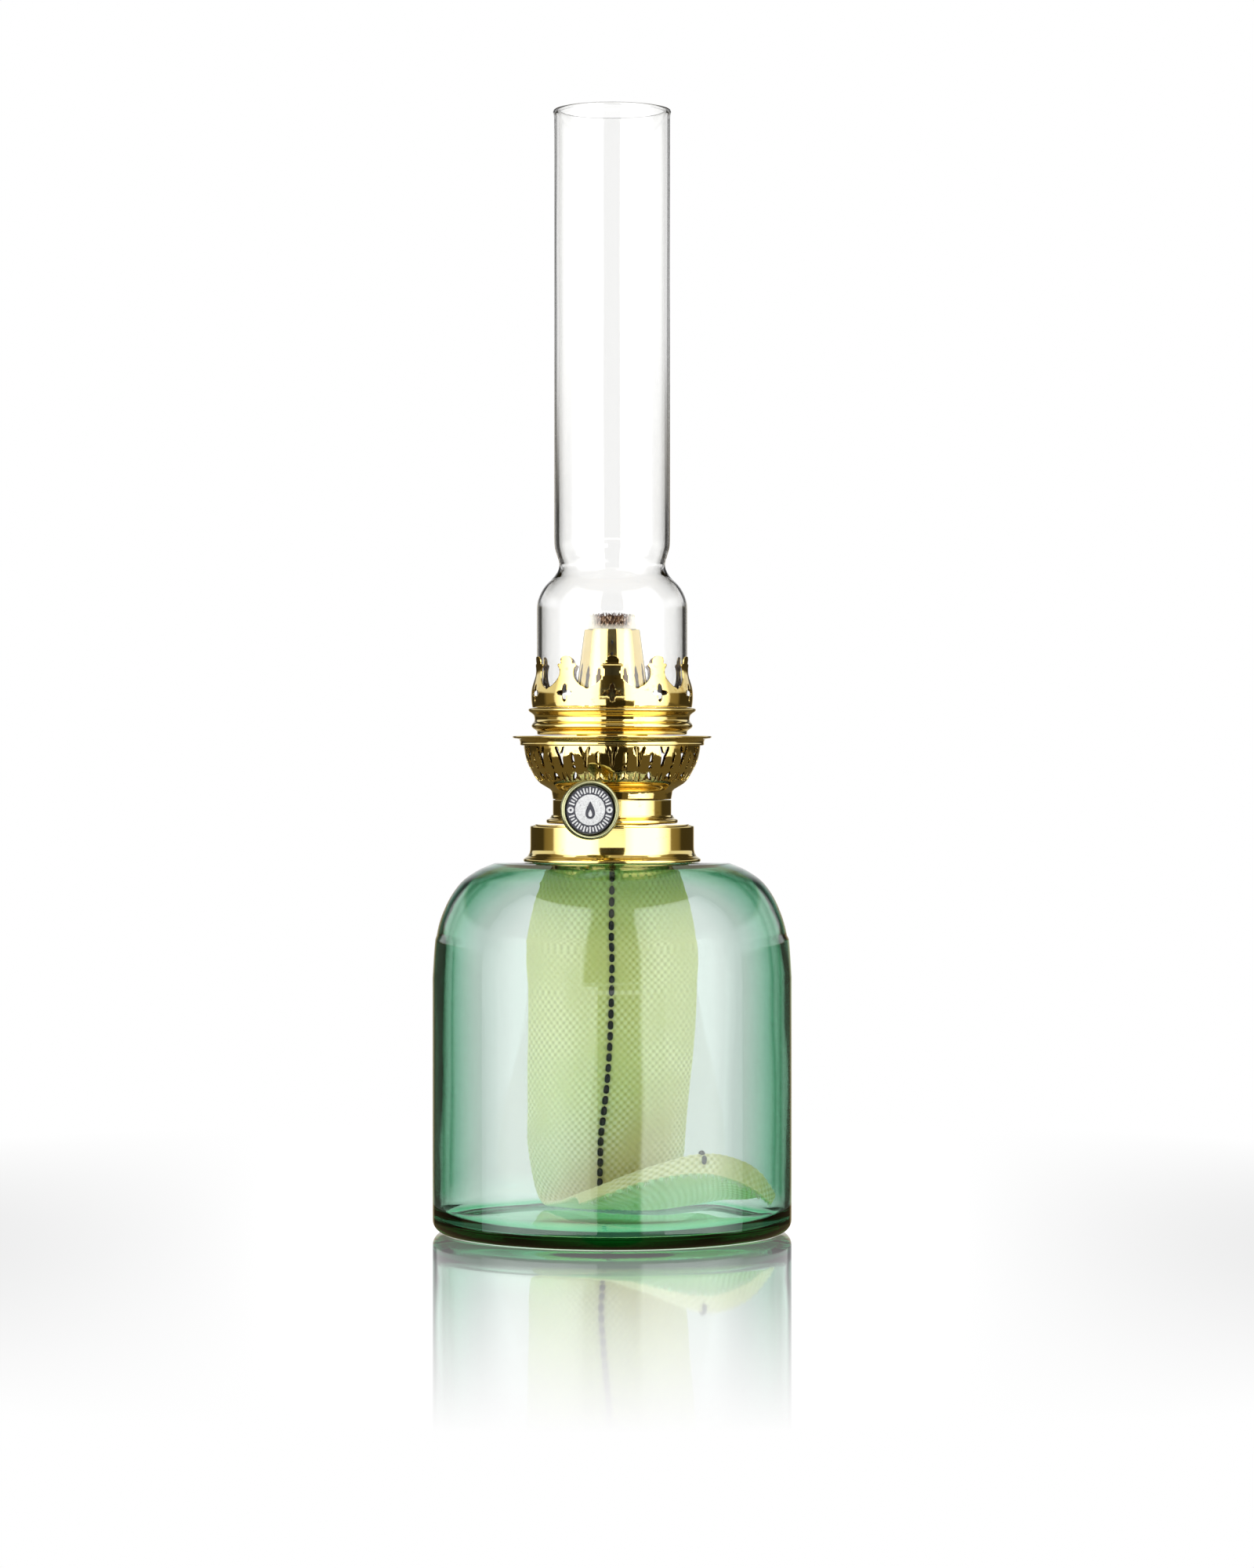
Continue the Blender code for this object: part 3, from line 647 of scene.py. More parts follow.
def font_piece():
    """The font: blown into a mould, so its outside is true and its inside wanders."""
    radius, wall, floor = radius_of("font_glass"), 2.4, 4
    foot, heel = 4.5, 6
    shoulder = smooth_line(SHOULDER, 10)
    outer = [(0, 0.9)] + arc(radius - 16, 0.9, 0.001, 90, 89, 2) + smooth_line(
        [(radius - 14, 0.8), (radius - 10, 0.15), (radius - foot - 1.5, 0)], 5)
    outer += arc(radius - foot, foot, foot, -88, 0, 14)
    outer += [(radius, height) for height in (20, 40, 60, 80)] + shoulder[::-1]
    neck_top = top_of("font_glass")
    outer += [(27.5, 130.4), (27.2, 130.7), (27.2, neck_top - 0.5)]
    outer += arc(26.7, neck_top - 0.5, 0.5, 0, 90, 4) + arc(25.4, neck_top - 0.5, 0.5, 90, 180, 4)
    inner = [(24.9, 129.6)] + arc(26.5, 129.2, 1.6, 180, 270, 5) + [(33, 127.6), (38, 127.55)]
    inner += [(min(r - 2.3, radius - wall), z - 1.2) for r, z in smooth_line(SHOULDER, 10)]
    inner += [(radius - wall, height) for height in (80, 70, 60, 50, 40, 30, 20)]
    inner += arc(radius - wall - heel, floor + heel, heel, 0, -90, 14)
    inner += [(44, floor - 0.1), (30, floor + 0.2), (14, floor + 0.5), (0, floor + 0.6)]

    def wander(point):
        reach = hypot(point.x, point.y)
        inside = reach < radius - 1.2 and 7 < point.z < 124 and reach > 45
        if not inside:
            return point
        slow = noise(Vector((point.x * 0.03, point.y * 0.03, point.z * 0.012)))
        quick = noise(Vector((point.x * 0.03 + 9, point.y * 0.03, point.z * 0.05)))
        grow = min(1, (point.z - 7) / 14) * min(1, (124 - point.z) / 10)
        return pushed(point, (0.55 * slow + 0.12 * quick - 0.2) * grow)

    dense = []
    outline = outer + inner
    for start, end in zip(outline, outline[1:]):
        gap = dist(start, end)
        parts = max(1, round(gap / 4)) if min(start[0], end[0]) > 40 else 1
        for part in range(parts):
            t = part / parts
            dense.append((start[0] + (end[0] - start[0]) * t, start[1] + (end[1] - start[1]) * t))
    dense.append(outline[-1])
    turned("font", dense, FONT_GLASS, "font_glass", "font", "green_glass", 200, ripple=wander, sharp=60)


def chimney_piece():
    top, seat, wall = top_of("glass_chimney"), foot_of("glass_chimney"), 1.6
    tube, fitter = 20.55, radius_of("glass_chimney")
    waist = [(tube, 247), (tube - 0.15, 242.5), (19.6, 239.2), (18.75, 235.7), (20.1, 232.2), (24.2, 227.6),
             (fitter - 0.25, 222.6), (fitter, 217)]
    bead = [(tube - wall + 0.2, top - 0.8), (tube - wall + 0.5, top - 0.15), (tube - 0.6, top),
            (tube + 0.2, top - 0.3), (tube + 0.4, top - 1), (tube + 0.15, top - 1.9), (tube, top - 3.2)]
    outer = bead + [(tube, height) for height in np.arange(380.0, 250.0, -12.0)] + smooth_line(waist, 6)
    outer += [(fitter, 205), (fitter, 192), (fitter, seat + 0.8)]
    outer += arc(fitter - 0.8, seat + 0.8, 0.8, 0, -180, 8)
    inner = [(r - wall, z) for r, z in reversed(smooth_line(waist, 6))]
    inner = [(fitter - wall, 192), (fitter - wall, 205)] + inner
    inner += [(tube - wall, height) for height in np.arange(260.0, top - 6.0, 12.0)]
    inner += [(tube - wall, top - 3)]

    def wander(point):
        reach = hypot(point.x, point.y)
        if reach > tube - 0.8 or point.z > top - 5:
            return point
        return pushed(point, 0.1 * noise(Vector((point.x * 0.06, point.y * 0.06, point.z * 0.02))))

    turned("chimney", outer + inner, CHIMNEY_GLASS, "glass_chimney", "chimney", "clear_glass", 160,
           ripple=wander, sharp=60)


# --- Brass: collar and burner


def collar_pieces():
    top = top_of("collar_band")
    band = [(28.4, top), (28.75, top), (29, top - 0.35), (29, 136.2), (29.05, 134.9), (29.3, 133.8),
            (29.9, 132.8), (30.9, 132.1), (31.35, 131.7), (31.4, 131.3), (31.3, 130.75), (28.9, 130.75),
            (28.4, 131.2), (28.4, 136), (27.7, 136.4), (27.7, 142.6)]
    turned("collar", rounded(band, 0.22), BRASS, "collar_band", "font", steps=192)
    screw = [(27.2, 144), (27.2, 143.3)]
    for turn in range(6):
        crest = 142.6 - turn * 1.1
        screw += [(27.2, crest), (26.75, crest - 0.3), (26.75, crest - 0.75)]
    screw += [(27.2, 136.4), (26.4, 136.4), (26.2, 143.3), (17, 143.3), (17, 144)]
    turned("burner_screw", rounded(screw, 0.1, 2), BRASS, "burner_thread_ring", steps=160)


def drum_pieces():
    plate = [(21.5, 147.2), (21.7, 146.7), (22.2, 146.1), (23.1, 145.75), (23.3, 145.4), (23.3, 144.7),
             (23, 144.3), (12.95, 144.3), (12.95, 144.8), (21.3, 144.8), (21.3, 147.2)]
    turned("drum_foot", rounded(plate, 0.15), BURNER_BRASS, "drum_base_plate", steps=160)
    shell = [(21, 152.6), (21, 145.1), (20.5, 145.1), (20.5, 152.6)]
    drum = turned("drum", rounded(shell, 0.1, 2), BRASS, "mechanism_drum", steps=160)
    boolean(drum, rod_cutter(1.5, -30, 30, SPINDLE_FRAME))
    sharpen(drum)
    sleeve = [(2, 22), (2.3, 21.7), (2.3, 20.2), (2.55, 19.6), (2.55, 17), (1.5, 17), (1.5, 22)]
    bush = turned("spindle_collar", rounded(sleeve, 0.12), BRASS, "spindle_bush", steps=64,
                  place=SPINDLE_FRAME)
    boolean(bush, rod_cutter(21.1, 130, 165, Matrix.Identity(4), 160))


def wheel_gear():
    """The spindle with its two sprocket wheels, and the knob."""
    rod = [(0, 31.6), (0.9, 31.6), (1.2, 31.3), (1.2, 27), (1.3, 26.8), (1.3, 25.6), (1.2, 25.4),
           (1.2, -15.7), (0.9, -16), (0, -16)]
    turned("spindle", rod, STEEL, "wick_spindle", "knob", "plated_steel", 40, SPINDLE_FRAME)
    dish = [(9.25, 33.55), (9.7, 33.6), (10.15, 33.35), (10.42, 32.8), (10.4, 32.1), (10, 31.5), (9.4, 31.2),
            (6, 31), (3.2, 30.8), (2.6, 30.5), (2.6, 30), (1.5, 30), (1.5, 31.9), (8.6, 31.9),
            (8.8, 32.5), (8.95, 33.2)]
    turned("knob_rim", rounded(dish, 0.12), KNOB_BRASS, "knob_dish", "knob", place=SPINDLE_FRAME)
    knob_face_pieces()


def knob_face_pieces():
    """The stamped tin disc in the knob: a dark ring with plain ticks, and a sandy pale middle with a drop."""
    dark = printed_tin("print_dark", (0.006, 0.006, 0.01), (0.045, 0.045, 0.06))
    pale = printed_tin("print_pale", (0.24, 0.24, 0.25), (0.62, 0.62, 0.62))
    ring = [(0, 32.75), (5.6, 32.75), (8.2, 32.78), (8.4, 32.6), (8.4, 32.2), (0, 32.2)]
    turned("face_ring", ring, dark, "knob_face", "knob", "printed_tin", 96, SPINDLE_FRAME)
    middle = [(0, 33.05), (4.6, 33.02), (5.25, 32.95), (5.35, 32.8), (0, 32.8)]
    turned("face_middle", middle, pale, None, "knob", "printed_tin", 96, SPINDLE_FRAME)
    ticks = bmesh.new()
    for index, turn in enumerate(turns(40)):
        if abs(cos(turn)) > 0.955:
            continue
        reach = 0.75 if index % 2 else 1.05
        place = (Matrix.Rotation(turn, 4, "Z") @ at(6.85, 0, 32.84)
                 @ Matrix.Diagonal((2 * reach * MM, 0.55 * MM, 0.1 * MM, 1)))
        bmesh.ops.create_cube(ticks, size=1, matrix=SPINDLE_FRAME @ place)
    bmesh.ops.bevel(ticks, geom=ticks.edges[:], offset=0.03 * MM, segments=1, affect="EDGES")
    dots = bmesh.new()
    marks = bmesh.new()
    for side in (-1, 1):
        disc(dots, 32, 1.15, 1, 0.14, SPINDLE_FRAME @ at(side * 6.9, 0, 32.85))
        disc(marks, 24, 0.45, 0.38, 0.1, SPINDLE_FRAME @ at(side * 6.9, 0, 32.95))
    add_drop(marks)
    for name, work, tin in ("face_ticks", ticks, pale), ("face_dots", dots, pale), ("face_marks", marks, dark):
        dressed(linked(name, mesh_from(work, name)), tin, "knob")


def add_drop(work):
    """Adds a small drop outline for the middle of the knob, standing on its round end."""
    outline = [(2.3 * sin(turn) * sin(turn / 2) ** 1.3, 3.1 * cos(turn)) for turn in turns(48)]
    inner = [(0.42 * x, 0.42 * y - 1.05) for x, y in outline]
    rings = []
    for height, loop in ((33.03, outline), (33.12, outline), (33.12, inner), (33.03, inner)):
        rings.append([work.verts.new(Vector((-y * MM, x * MM, height * MM))) for x, y in loop])
    for first, second in zip(rings, rings[1:] + rings[:1]):
        for corners in ring_faces(first, second):
            work.faces.new(corners)
    up = SPINDLE_FRAME.to_3x3().inverted() @ Vector((0, 0, 1))
    upright = Matrix.Rotation(atan2(up.y, up.x) + pi, 3, "Z")
    verts = sum(rings, [])
    bmesh.ops.rotate(work, verts=verts, cent=(0, 0, 0), matrix=upright)
    bmesh.ops.transform(work, matrix=SPINDLE_FRAME, verts=verts)


def profile_of(points):
    """radius(height) along a smooth line through (radius, height) points, heights going down."""
    line = smooth_line(points, 12)
    heights = np.array([z for _, z in line])[::-1]
    radii = np.array([r for r, _ in line])[::-1]
    return lambda height: float(np.interp(height, heights, radii))


def oval(x, z, half_width, half_height, points=20, tip=0):
    """An oval, or with a tip above 0 a drop whose upper end is narrower."""
    outline = []
    for turn in turns(points):
        narrow = 1 - tip * 0.5 * (1 + cos(turn))
        outline.append((x + half_width * narrow * sin(turn), z + half_height * cos(turn)))
    return outline


def moved(outline, aside):
    return [(x + aside, z) for x, z in outline]


def mirrored(half):
    """The whole outline from its right half, whose two ends lie on the middle line."""
    return half + [(-x, z) for x, z in half[-2:0:-1]]


def basket_piece():
    """The air basket: a spun bowl pierced with forks, drops, dots and arrowheads, twenty of each round it."""
    profile = profile_of([(31.3, 174.2), (31.2, 171), (30.6, 167.6), (29.4, 164.3), (26.4, 159.3), (24.3, 157.6),
                          (21.7, 156), (21.3, 154.7), (21, 152.9)])
    bottom, top = 152.9, 174.2
    edge = PATTERN / 2
    frame_line = [(-edge, bottom), (edge, bottom), (edge, top), (-edge, top)]
    arm = [(0, 168.9), (0.55, 170), (1.05, 171.4), (2, 171.7), (2.3, 170.9), (1.75, 169.4), (0.95, 167.6),
           (0.72, 165.4), (0.45, 164.3), (0, 163.9)]
    fork = moved(mirrored(arm), -edge / 2)
    drop = oval(edge / 2, 167.6, 1, 1.9, 18, 0.7)
    dot = oval(edge / 2, 164.3, 0.75, 0.7, 14)
    arrow = moved(mirrored([(0, 162.9), (1.5, 161.2), (2.05, 159.6), (0.95, 159.9), (0, 161)]), edge / 2)
    dash = [(0.75, 162.6), (1.15, 162.4), (1.7, 159.8), (1.2, 159.3), (0.7, 159.8)]
    other_dash = [(-x, z) for x, z in dash[:1] + dash[:0:-1]]
    outlines = [frame_line, fork[::-1], drop, dot, arrow]
    outlines += [moved(line[::-1], -edge / 2) for line in (dash, other_dash)]
    heights = [153.4, 154, 154.6, 155.2, 155.8, 156.4, 157, 157.6, 158.3, 159.1, 160, 161, 162, 163,
               164.1, 165.3, 166.6, 168, 169.5, 171, 172.6]
    pierced_band("basket", outlines, 20, profile, heights, 1.25, "burner", "air_basket",
                 0.25)


def shade_ring_piece():
    outline = [(30, 175.3), (34.7, 175.3), (35.2, 175.15), (35.3, 174.85), (35.1, 174.45), (34.2, 174.2),
               (33.2, 174), (32.7, 173.5), (32.55, 172.8), (32.65, 172.3), (32.5, 171.9), (32, 171.8),
               (31.7, 172), (31.7, 174.6), (24.5, 174.6), (24.5, 175.1), (29.7, 175.1)]
    turned("shade_holder", rounded(outline, 0.2), BURNER_BRASS, "shade_ring", steps=192)


def gallery_pieces():
    ring = [(28.4, 185.15), (29.2, 185.05), (29.65, 184.7), (29.7, 184.25), (29.35, 183.7), (28.6, 183.2),
            (27.85, 182.6), (27.55, 181.9), (27.45, 180.9), (27.7, 180.2), (28.25, 179.6), (28.55, 179),
            (28.5, 178.4), (28, 177.8), (27.2, 177.3), (26.65, 176.9), (26.55, 175.9), (26.3, 175.6),
            (25.6, 175.6), (25.6, 178.6), (27, 178.6), (27, 185)]
    turned("gallery", rounded(ring, 0.12, 2), BURNER_BRASS, "gallery_ring", "gallery", steps=192)
    plate = [(26.7, 179.4), (26.7, 178.9), (15, 178.9), (15, 179.4)]
    seat = turned("seat_plate", rounded(plate, 0.1, 2), DULL_BRASS, "chimney_seat", "gallery",
                  "darkened_brass")
    holes = bmesh.new()
    for turn in turns(12):
        disc(holes, 24, 2, 2, 4, Matrix.Rotation(turn, 4, "Z") @ at(20.5, 0, 179.15))
    boolean(seat, linked("seat_holes", mesh_from(holes, "seat_holes")))
    sharpen(seat)


def crown_piece():
    """The chimney gallery's crown: ten lobed prongs with a four-pointed star under each."""
    profile = profile_of([(27.75, 203.2), (27.4, 200.9), (27.35, 199), (27.55, 196.5), (28.15, 193.6),
                          (28.6, 191), (28.65, 188.5), (28.5, 186.6), (28.3, 185.3)])
    scale = PATTERN * 10 / (2 * pi * 28.3)
    side = [(0, 203.2), (0.9, 203.1), (1.75, 202.75), (2.35, 202.1), (2.55, 201.3), (2.45, 200.75),
            (2.75, 200.45), (3.45, 200.55), (4.05, 200.2), (4.1, 199.7), (3.6, 199.2), (3.2, 198.4), (3.1, 197.2),
            (3.35, 196), (4.1, 194.8), (5.3, 193.6), (6.6, 192.7), (7.8, 192.2), (8.4, 191.75)]
    side = smooth_line(side, 3)
    edge = PATTERN / 2
    right = [(x * scale, z) for x, z in side]
    right = [(min(x, edge), z) for x, z in right if x * scale < edge - 0.05] + [(edge, 191.75)]
    left = [(-x, z) for x, z in reversed(right)][:-1]
    outline = left + right + [(edge, 185.3), (-edge, 185.3)]
    star = []
    for corner in range(4):
        for step in range(6):
            turn = pi / 2 * (corner + step / 6)
            bend = abs(cos(2 * turn))
            reach = 1.45 + 2 * bend ** 2.2
            star.append((reach * sin(turn) * scale, 190.3 + 0.98 * reach * cos(turn)))
    heights = [*range(186, 196), 196.2, 197.4, 198.6, 199.6, 200.6, 201.6, 202.5]
    pierced_band("crown", [outline, star], 10, profile, heights, 0.45, "gallery", "gallery_crown")


def tube_pieces():
    """The two tubes that the wick rises between, and the side duct that lets air into the inner one."""
    outer = [(9.85, 212.9), (10, 212), (11.05, 204), (12.1, 196), (12.45, 193.4), (12.58, 192),
             (12.6, 190), (12.6, 144), (12.1, 144), (12.1, 190), (12.08, 192), (11.95, 193.4),
             (11.6, 196), (10.55, 204), (9.5, 212), (9.35, 212.9)]
    tube = turned("wick_tube", rounded(outer, 0.1, 2), BURNER_BRASS, "outer_wick_tube")
    boolean(tube, box_cutter((5, -4.6, 145.4), (20, 4.6, 153.8), BOX_TURN))
    boolean(tube, box_cutter((-4.3, 5, 156.7), (4.3, 20, 170.3)))
    sharpen(tube)
    inner = [(0, 157.5), (5.8, 157.5), (5.8, 212.2), (5.95, 212.4), (6.15, 212.4), (6.3, 212.2), (6.3, 157.2),
             (6.1, 157), (0, 157)]
    draught = turned("draught_tube", inner, DULL_BRASS, "inner_air_tube", steps=96)
    boolean(draught, box_cutter((-4, 5.6, 157.2), (4, 13.5, 169.8)), "UNION")
    boolean(draught, box_cutter((-3.5, 2, 157.7), (3.5, 15, 169.3)))
    sharpen(draught)


# --- Wick


WICK_TUBE_RADIUS = 10.55
WICK_LINE = [(0, -7.45, 217.4), (0, -10.4, 192), (0, -WICK_TUBE_RADIUS, 168),
             (0, -WICK_TUBE_RADIUS, 150), (0, -WICK_TUBE_RADIUS, 141), (0, -8.6, 126),
             (-0.3, -4.5, 104), (-0.2, 0.5, 84), (-0.8, 6, 64), (-2, 14, 44), (-3, 22, 26)]
WICK_TAIL = [
    [(-27, 36, 7.5), (-15, 31, 6.5), (-1, 30, 6.3), (13, 32, 6.5), (23, 38, 7.5)],
    [(-20, 22, 7.5), (-2, 13, 9.5), (16, 10, 14), (33, 13, 14), (46, 21, 9.5)],
    [(-13, 12, 10.5), (9, 1, 20.5), (31, -3.5, 27), (48, -1.5, 24), (57.5, 7, 13.5)],
    [(-11, 7, 8.5), (10, -5, 17.5), (31, -9.5, 21), (47, -8, 17.5), (56.5, 1, 9.8)],
]
WICK_WIDTH = 68
WICK_TUBE_FOOT = 141
WICK_OPEN = 118
WICK_WRAP = radians(150)
WICK_TOP_BOW = 40
WICK_LOW_BOW = 31
WICK_THICKNESS = 1.8


def eased(value, low, high):
    """0 below low, 1 above high, and a smooth step between."""
    t = min(max((value - low) / (high - low), 0), 1)
    return t * t * (3 - 2 * t)


def wick_station(middle, across):
    """A point across the wick: wrapped into the round tube, and bowed below it."""
    x, y, z = middle
    radius = -y if z >= WICK_TUBE_FOOT else WICK_TUBE_RADIUS
    wrapped = around(radius, WICK_WRAP * across, z)
    bow = WICK_TOP_BOW + (WICK_LOW_BOW - WICK_TOP_BOW) * eased(-z, -90, -26)
    bend = WICK_WIDTH / 2 * across / bow
    hung = Vector((x + bow * sin(bend), y + bow * (1 - cos(bend)), z))
    return wrapped.lerp(hung, eased(-z, -WICK_TUBE_FOOT, -WICK_OPEN))


def place_at(where, length, line):
    """The point that far along a line of points."""
    return np.array([np.interp(where, length, line[:, axis]) for axis in range(3)])


def lengths_along(line):
    """How far along the line each of its points lies."""
    return np.concatenate([[0.0], np.cumsum(np.linalg.norm(np.diff(line, axis=0), axis=1))])


def wick_middle_surface(columns, rows):
    """The middle of the cloth's thickness, with rows of equal length down its middle line."""
    parts = 16
    surface = []
    for column in range(columns + 1):
        across = 2 * column / columns - 1
        line = [tuple(wick_station(middle, across)) for middle in WICK_LINE]
        for row in WICK_TAIL:
            rail = np.array(smooth_line(row, parts))
            line.append(tuple(place_at((across + 1) / 2 * (len(rail) - 1), range(len(rail)), rail)))
        surface.append(smooth_line(line, parts))
    surface = np.array(surface)
    length = lengths_along(surface[columns // 2])
    wanted = np.linspace(0.0, length[-1], rows + 1)
    return np.stack([place_at(wanted, length, line).T for line in surface], axis=1)


def wick_cloth():
    """One woven band with real diamond cells on both faces, rounded selvedges and a cut end."""
    columns, rows = ((122, 480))
    middle = wick_middle_surface(columns, rows)
    along = np.gradient(middle, axis=0)
    aside = np.gradient(middle, axis=1)
    normal = np.cross(along, aside)
    normal /= np.linalg.norm(normal, axis=2, keepdims=True)
    down = lengths_along(middle[:, columns // 2])[:, None] * np.ones((1, columns + 1))
    across = np.linspace(-WICK_WIDTH / 2, WICK_WIDTH / 2, columns + 1)[None, :] * np.ones((rows + 1, 1))
    cells = np.cos(2 * np.pi * across / CELL_WIDTH) * np.cos(2 * np.pi * down / CELL_HEIGHT)
    edge = np.clip((WICK_WIDTH / 2 - np.abs(across)) / 1.2, 0.0, 1.0)
    rounding = np.sqrt(1 - (1 - edge) ** 2)
    seam = 1 - 0.5 * np.exp(-(across / 1.3) ** 2)
    in_tube = np.clip((150.0 - middle[:, :, 2]) / 12.0, 0.25, 1.0)
    half = (WICK_THICKNESS / 2 - 0.28) * (0.25 + 0.75 * rounding) * seam
    raised = half + 0.26 * (cells + 0.35 * np.sign(cells) * cells ** 2) * edge * in_tube
    front = middle + normal * raised[:, :, None]
    back = middle - normal * raised[:, :, None]
    verts = [tuple(point * MM) for side in (front, back) for point in side.reshape(-1, 3)]
    uv = np.stack([across.ravel(), down.ravel()], axis=1)
    wide, size = columns + 1, (rows + 1) * (columns + 1)
    faces = []
    for row in range(rows):
        for column in range(columns):
            a = row * wide + column
            faces.append((a, a + 1, a + wide + 1, a + wide))
            faces.append((size + a, size + a + wide, size + a + wide + 1, size + a + 1))
        for a, flip in ((row * wide, False), (row * wide + columns, True)):
            strip = (a, a + wide, size + a + wide, size + a)
            faces.append(strip[::-1] if flip else strip)
    for column in range(columns):
        for start in (column, rows * wide + column):
            faces.append((start, start + 1, size + start + 1, size + start))
    cloth = mesh_piece("wick", verts, faces, COTTON, sharp=80.0, uv=np.concatenate([uv, uv]))
    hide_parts("wick_upper", "wick_lower", "wick_tail")
    return cloth, middle, normal, down


def wick_follows(item):
    """Bakes the item's placement into its mesh."""
    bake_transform(item)


def wick_stitches(middle, normal, down):
    """The black running stitch down the middle of the wick, on both faces by turns."""
    column = middle.shape[1] // 2
    line, out, length = middle[:, column], normal[:, column], down[:, column]
    lines = []
    pitch, dash = 4.15, 3
    start = 8
    while start + dash < length[-1]:
        for side in (1, -1):
            if side < 0 and start > length[-1] - 75:
                continue
            first = start if side > 0 else start + pitch / 2
            points = []
            for step in range(7):
                t = step / 6
                along = min(first + dash * t, length[-1] - 0.2)
                lift = side * (0.5 + 0.45 * sin(pi * t))
                point = place_at(along, length, line) + place_at(along, length, out) * lift
                points.append(Vector(point) * MM)
            lines.append(points)
        start += pitch
    stitches = many_tubes("wick_stitches", lines, 1.0 * MM, BLACK_THREAD, sides=10)
    wick_follows(stitches)
    return stitches


def wick_fringe(middle):
    """Short loose ends standing at the burnt top edge, and threads at the cut end in the font."""
    draw = random.Random(7)
    lines = []
    columns = middle.shape[1]
    for _ in range(260):
        column = draw.randrange(columns)
        top = Vector(middle[0, column])
        radial = (top - Vector((0, 0, top.z))).normalized()
        base = top + radial * draw.uniform(-0.8, 0.8)
        lean = radial * draw.uniform(-0.7, 0.4)
        lean += Vector((draw.uniform(-0.6, 0.6), draw.uniform(-0.6, 0.6), 0))
        height = draw.uniform(0.5, 1.9)
        points = []
        for step in range(4):
            t = step / 3
            point = base + Vector((0, 0, height * t - 0.5)) + lean * t * t
            # Kept between the two tubes, as the wick sinks into their gap
            out = hypot(point.x, point.y)
            points.append(pushed(point, min(max(out, 6.55), 9.1) - out) * MM)
        lines.append(points)
    fringe = many_tubes("wick_top_fringe", lines, 0.13 * MM, COTTON, sides=5, body="wick", slot="cotton")
    ends = []
    for _ in range(120):
        column = draw.randrange(columns)
        base = Vector(middle[-1, column])
        ahead = (base - Vector(middle[-4, column])).normalized()
        reach = draw.uniform(0.5, 1.6)
        bend = Vector((draw.uniform(-0.6, 0.6), draw.uniform(-0.6, 0.6), draw.uniform(-0.8, 0.4)))
        points = [(base + ahead * reach * t + bend * t * t) * MM for t in (0, 0.33, 0.66, 1)]
        ends.append(points)
    frayed = many_tubes("wick_cut_fringe", ends, 0.12 * MM, PALE_THREAD, sides=5, body="burner",
                        slot="cotton")
    return fringe, frayed


def wick_pieces():
    cloth, middle, normal, down = wick_cloth()
    wick_follows(cloth)
    stitches = wick_stitches(middle, normal, down)
    fringe, frayed = wick_fringe(middle)


# --- CAD nodes that keep their shape


def carried_over():
    """The pieces whose CAD shape is right already: they only get their finish."""
    finishes = {"wheel_box": DULL_BRASS, "sprocket_wheel_front": STEEL, "sprocket_wheel_rear": STEEL,
                "collar_cement": plaster()}
    for node, finish in finishes.items():
        for slot in frame["nodes"][node].material_slots:
            slot.material = finish


# --- Studio


def world_light():
    """A white cyclorama: wide boxes left and right, a dark gap in front and darker corners behind."""
    world = bpy.data.worlds.new("studio")
    bpy.context.scene.world = world
    world.use_nodes = True
    world.node_tree.nodes.clear()
    made = Nodes(world.node_tree)
    direction = made.node("TexCoord").outputs["Generated"]
    share = made.maths("DIVIDE", made.round_front(direction), pi)
    height = made.maths("MULTIPLY_ADD", made.split(direction)[2], 0.5, 0.5)
    side = made.ramp(share, [(0, 0.01), (0.095, 0.02), (0.11, 0.9), (0.47, 0.75), (0.51, 0.085), (0.6, 0.06),
                             (0.635, 0.015), (0.885, 0.015), (0.955, 0.2), (0.985, 0.31)])
    side = made.times(side, BOX_LEVEL)
    # A paler band low behind, which the table mirrors, but not straight behind, for the edges of glass
    corner = made.ramp(share, [(0.49, 0), (0.5, 1), (0.83, 1), (0.86, 0)])
    low = made.ramp(height, [(0.525, 0), (0.545, 1), (0.65, 1), (0.68, 0)])
    seen = made.shifted(side, made.maths("MAXIMUM", side, BACK_LEVEL), made.times(corner, low))
    # Just under the horizon: the table's bright far edge, in front only.  Below it: the dim table.
    front = made.maths("LESS_THAN", share, 0.108)
    edge = made.ramp(height, [(0.4745, 0.02), (0.4775, 1), (0.491, 1), (0.4935, 0)])
    seen = made.shifted(seen, TABLE_LEVEL, made.times(edge, front))
    under = made.maths("MULTIPLY_ADD", front, -0.8 * UNDER_LEVEL, UNDER_LEVEL)
    seen = made.shifted(seen, under, made.ramp(height, [(0.42, 1), (0.435, 0)]))
    seen = made.shifted(seen, TOP_LEVEL, made.ramp(height, [(0.81, 0), (0.89, 1)]))
    # Straight through glass: white behind, darker corners, so that edges of glass draw themselves
    path = made.node("LightPath").outputs
    through = made.ramp(share, [(0.1, 1), (0.46, 1), (0.54, 0.36), (0.78, 0.32), (0.91, 1.08)])
    unlit = made.maths("LESS_THAN", made.plus(path["Glossy Depth"], path["Diffuse Depth"]), 0.5)
    seen = made.shifted(seen, through, made.times(path["Is Transmission Ray"], unlit))
    soft = made.maths("GREATER_THAN", path["Diffuse Depth"], 0.5)
    seen = made.shifted(seen, FILL_LEVEL, soft)
    seen = made.shifted(seen, 1, path["Is Camera Ray"])
    # The dimmer it is, the warmer: brass mirrors itself there
    plain = made.plus(path["Transmission Depth"], made.maths("MAXIMUM", soft, path["Is Camera Ray"]))
    warmth = made.span(made.plus(seen, plain), 0.25, 1, 1, 0)
    warmth = made.times(warmth, made.maths("SUBTRACT", 1, low))
    tone = made.mix(warmth, (1, 1, 1), (1, 0.78, 0.36))
    background = made.node("Background", {"Color": tone, "Strength": seen})
    made.link(background.outputs[0], made.node("OutputWorld").inputs["Surface"])


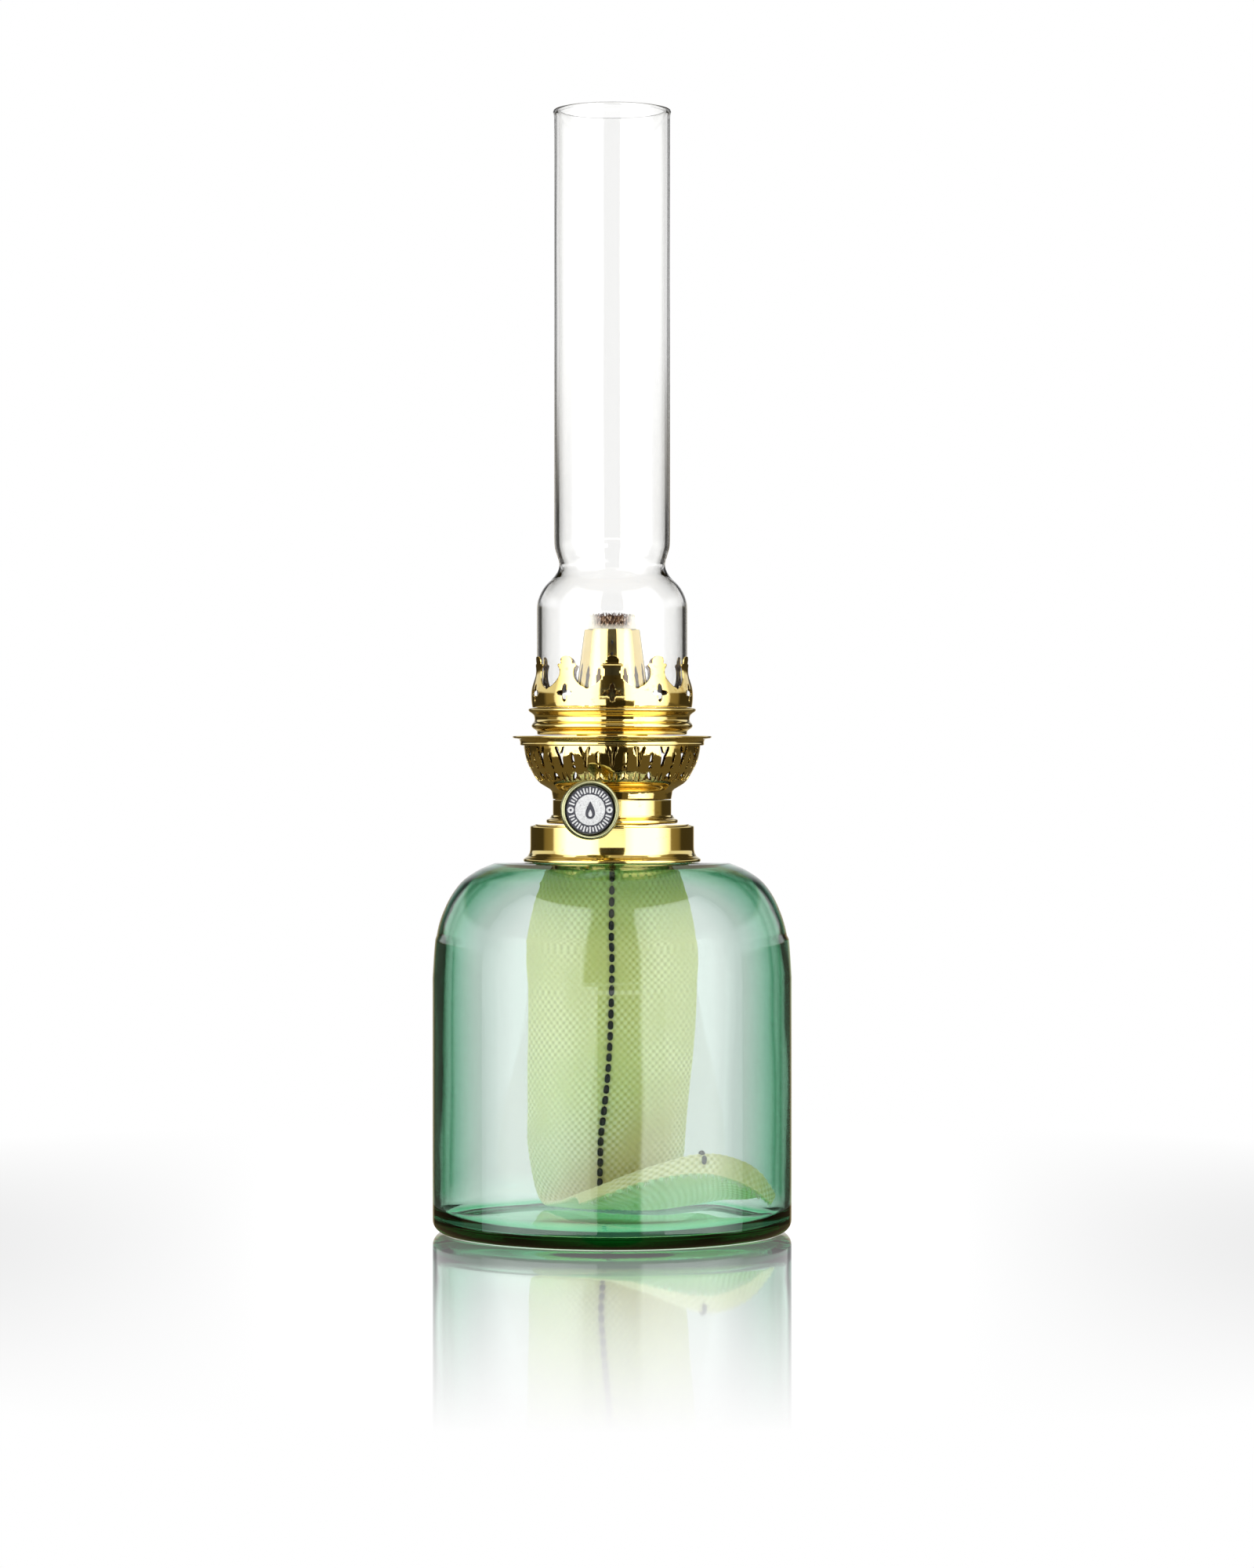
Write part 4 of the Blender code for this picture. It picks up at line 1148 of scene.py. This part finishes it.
def hide_from(item, *rays):
    for ray in rays:
        setattr(item, "visible_" + ray, False)


def soft_boxes():
    """Two curved soft boxes beside the camera, seen in gloss only; the world fills the rest."""
    made = Shader("soft_box")
    level = made.ramp(made.maths("DIVIDE", made.round_front(made.coords["Object"]), pi / 2),
                      [(0, 0.5), (0.22, 0.75), (0.34, 1), (0.72, 1), (0.98, 0.3)])
    path = made.node("LightPath").outputs
    direct = made.times(path["Is Transmission Ray"], made.maths("LESS_THAN", path["Glossy Depth"], 0.5))
    made.shown(direct, made.glow(made.times(level, BOX_LEVEL)), made.node("BsdfTransparent"))
    steps = 24
    for name, side, low_inner in (("soft_box_left", -1, 9), ("soft_box_right", 1, 32)):
        verts = []
        rows = ((-0.11, low_inner), (0.095, low_inner), (0.105, BOX_INNER), (BOX_HEIGHT, BOX_INNER))
        for height, inner in rows:
            for step in range(steps + 1):
                turn = side * radians(inner + (BOX_OUTER - inner) * step / steps)
                verts.append(around(BOX_DISTANCE, turn, height))
        box = mesh_piece(name, verts, grid_faces(len(rows) - 1, steps), made.material)
        hide_from(box, "camera", "diffuse", "shadow")


def studio_floor():
    """A white glossy table: it glows evenly, and mirrors the lamp most near its foot."""
    size, low = 4, -0.0002
    verts = [(-size, -size, low), (size, -size, low), (size, size, low), (-size, size, low)]
    made = Shader("studio_floor")
    away = made.node("VectorMath", {0: made.coords["Object"]}, operation="LENGTH").outputs["Value"]
    near = made.span(away, 0.06, FLOOR_FADE, 1, 0)
    # Like any gloss, it mirrors most at a flat angle and hardly at all from above
    flat = made.span(made.node("LayerWeight").outputs["Facing"], 0.55, 0.82, 0.06, 1)
    mirror = made.times(made.times(near, flat), FLOOR_MIRROR)
    gloss = made.node("BsdfGlossy", {"Color": WHITE, "Roughness": 0.04})
    floor = mesh_piece("floor", verts, [(0, 1, 2, 3)], made.shown(mirror, made.glow(1), gloss))
    hide_from(floor, "glossy", "transmission")


WHITE = (1, 1, 1, 1)
BOX_INNER = 19.5
BOX_OUTER = 88
BOX_LEVEL = 3.7
TABLE_LEVEL = 2
UNDER_LEVEL = 0.14
BOX_DISTANCE = 0.8
BOX_HEIGHT = 1.1
TOP_LEVEL = 0.55
FILL_LEVEL = 2.1
BACK_LEVEL = 0.9
FLOOR_MIRROR = 0.9
FLOOR_FADE = 0.45


def camera():
    data = bpy.data.cameras.new("camera")
    data.lens = 100.8
    data.shift_x = 0.0095
    data.shift_y = -0.031
    data.clip_end = 20
    item = linked("camera", data)
    item.location = (0, -1.555, 0.1754)
    item.rotation_euler = (radians(90), 0, 0)
    bpy.context.scene.camera = item


def spindle_frame():
    """The knob's axis: its local Z runs out to the front, from the joint in the record."""
    joint = next(joint for joint in RECORD["behaviour"]["joints"] if joint["name"] == "knob_turn")
    along = Vector(joint["axis"])
    turn = along.to_track_quat("Z", "Y").to_matrix().to_4x4()
    return Matrix.Translation(joint["pos_m"]) @ turn, pi + atan2(along.x, -along.y)


SPINDLE_FRAME, BOX_TURN = spindle_frame()

camera()
world_light()
soft_boxes()
studio_floor()
font_piece()
chimney_piece()
collar_pieces()
drum_pieces()
wheel_gear()
basket_piece()
shade_ring_piece()
gallery_pieces()
crown_piece()
tube_pieces()
wick_pieces()
carried_over()

scene = bpy.context.scene
scene.view_settings.view_transform = "Standard"
scene.cycles.max_bounces = 24
scene.cycles.transmission_bounces = 20
scene.cycles.glossy_bounces = 8
scene.cycles.transparent_max_bounces = 16
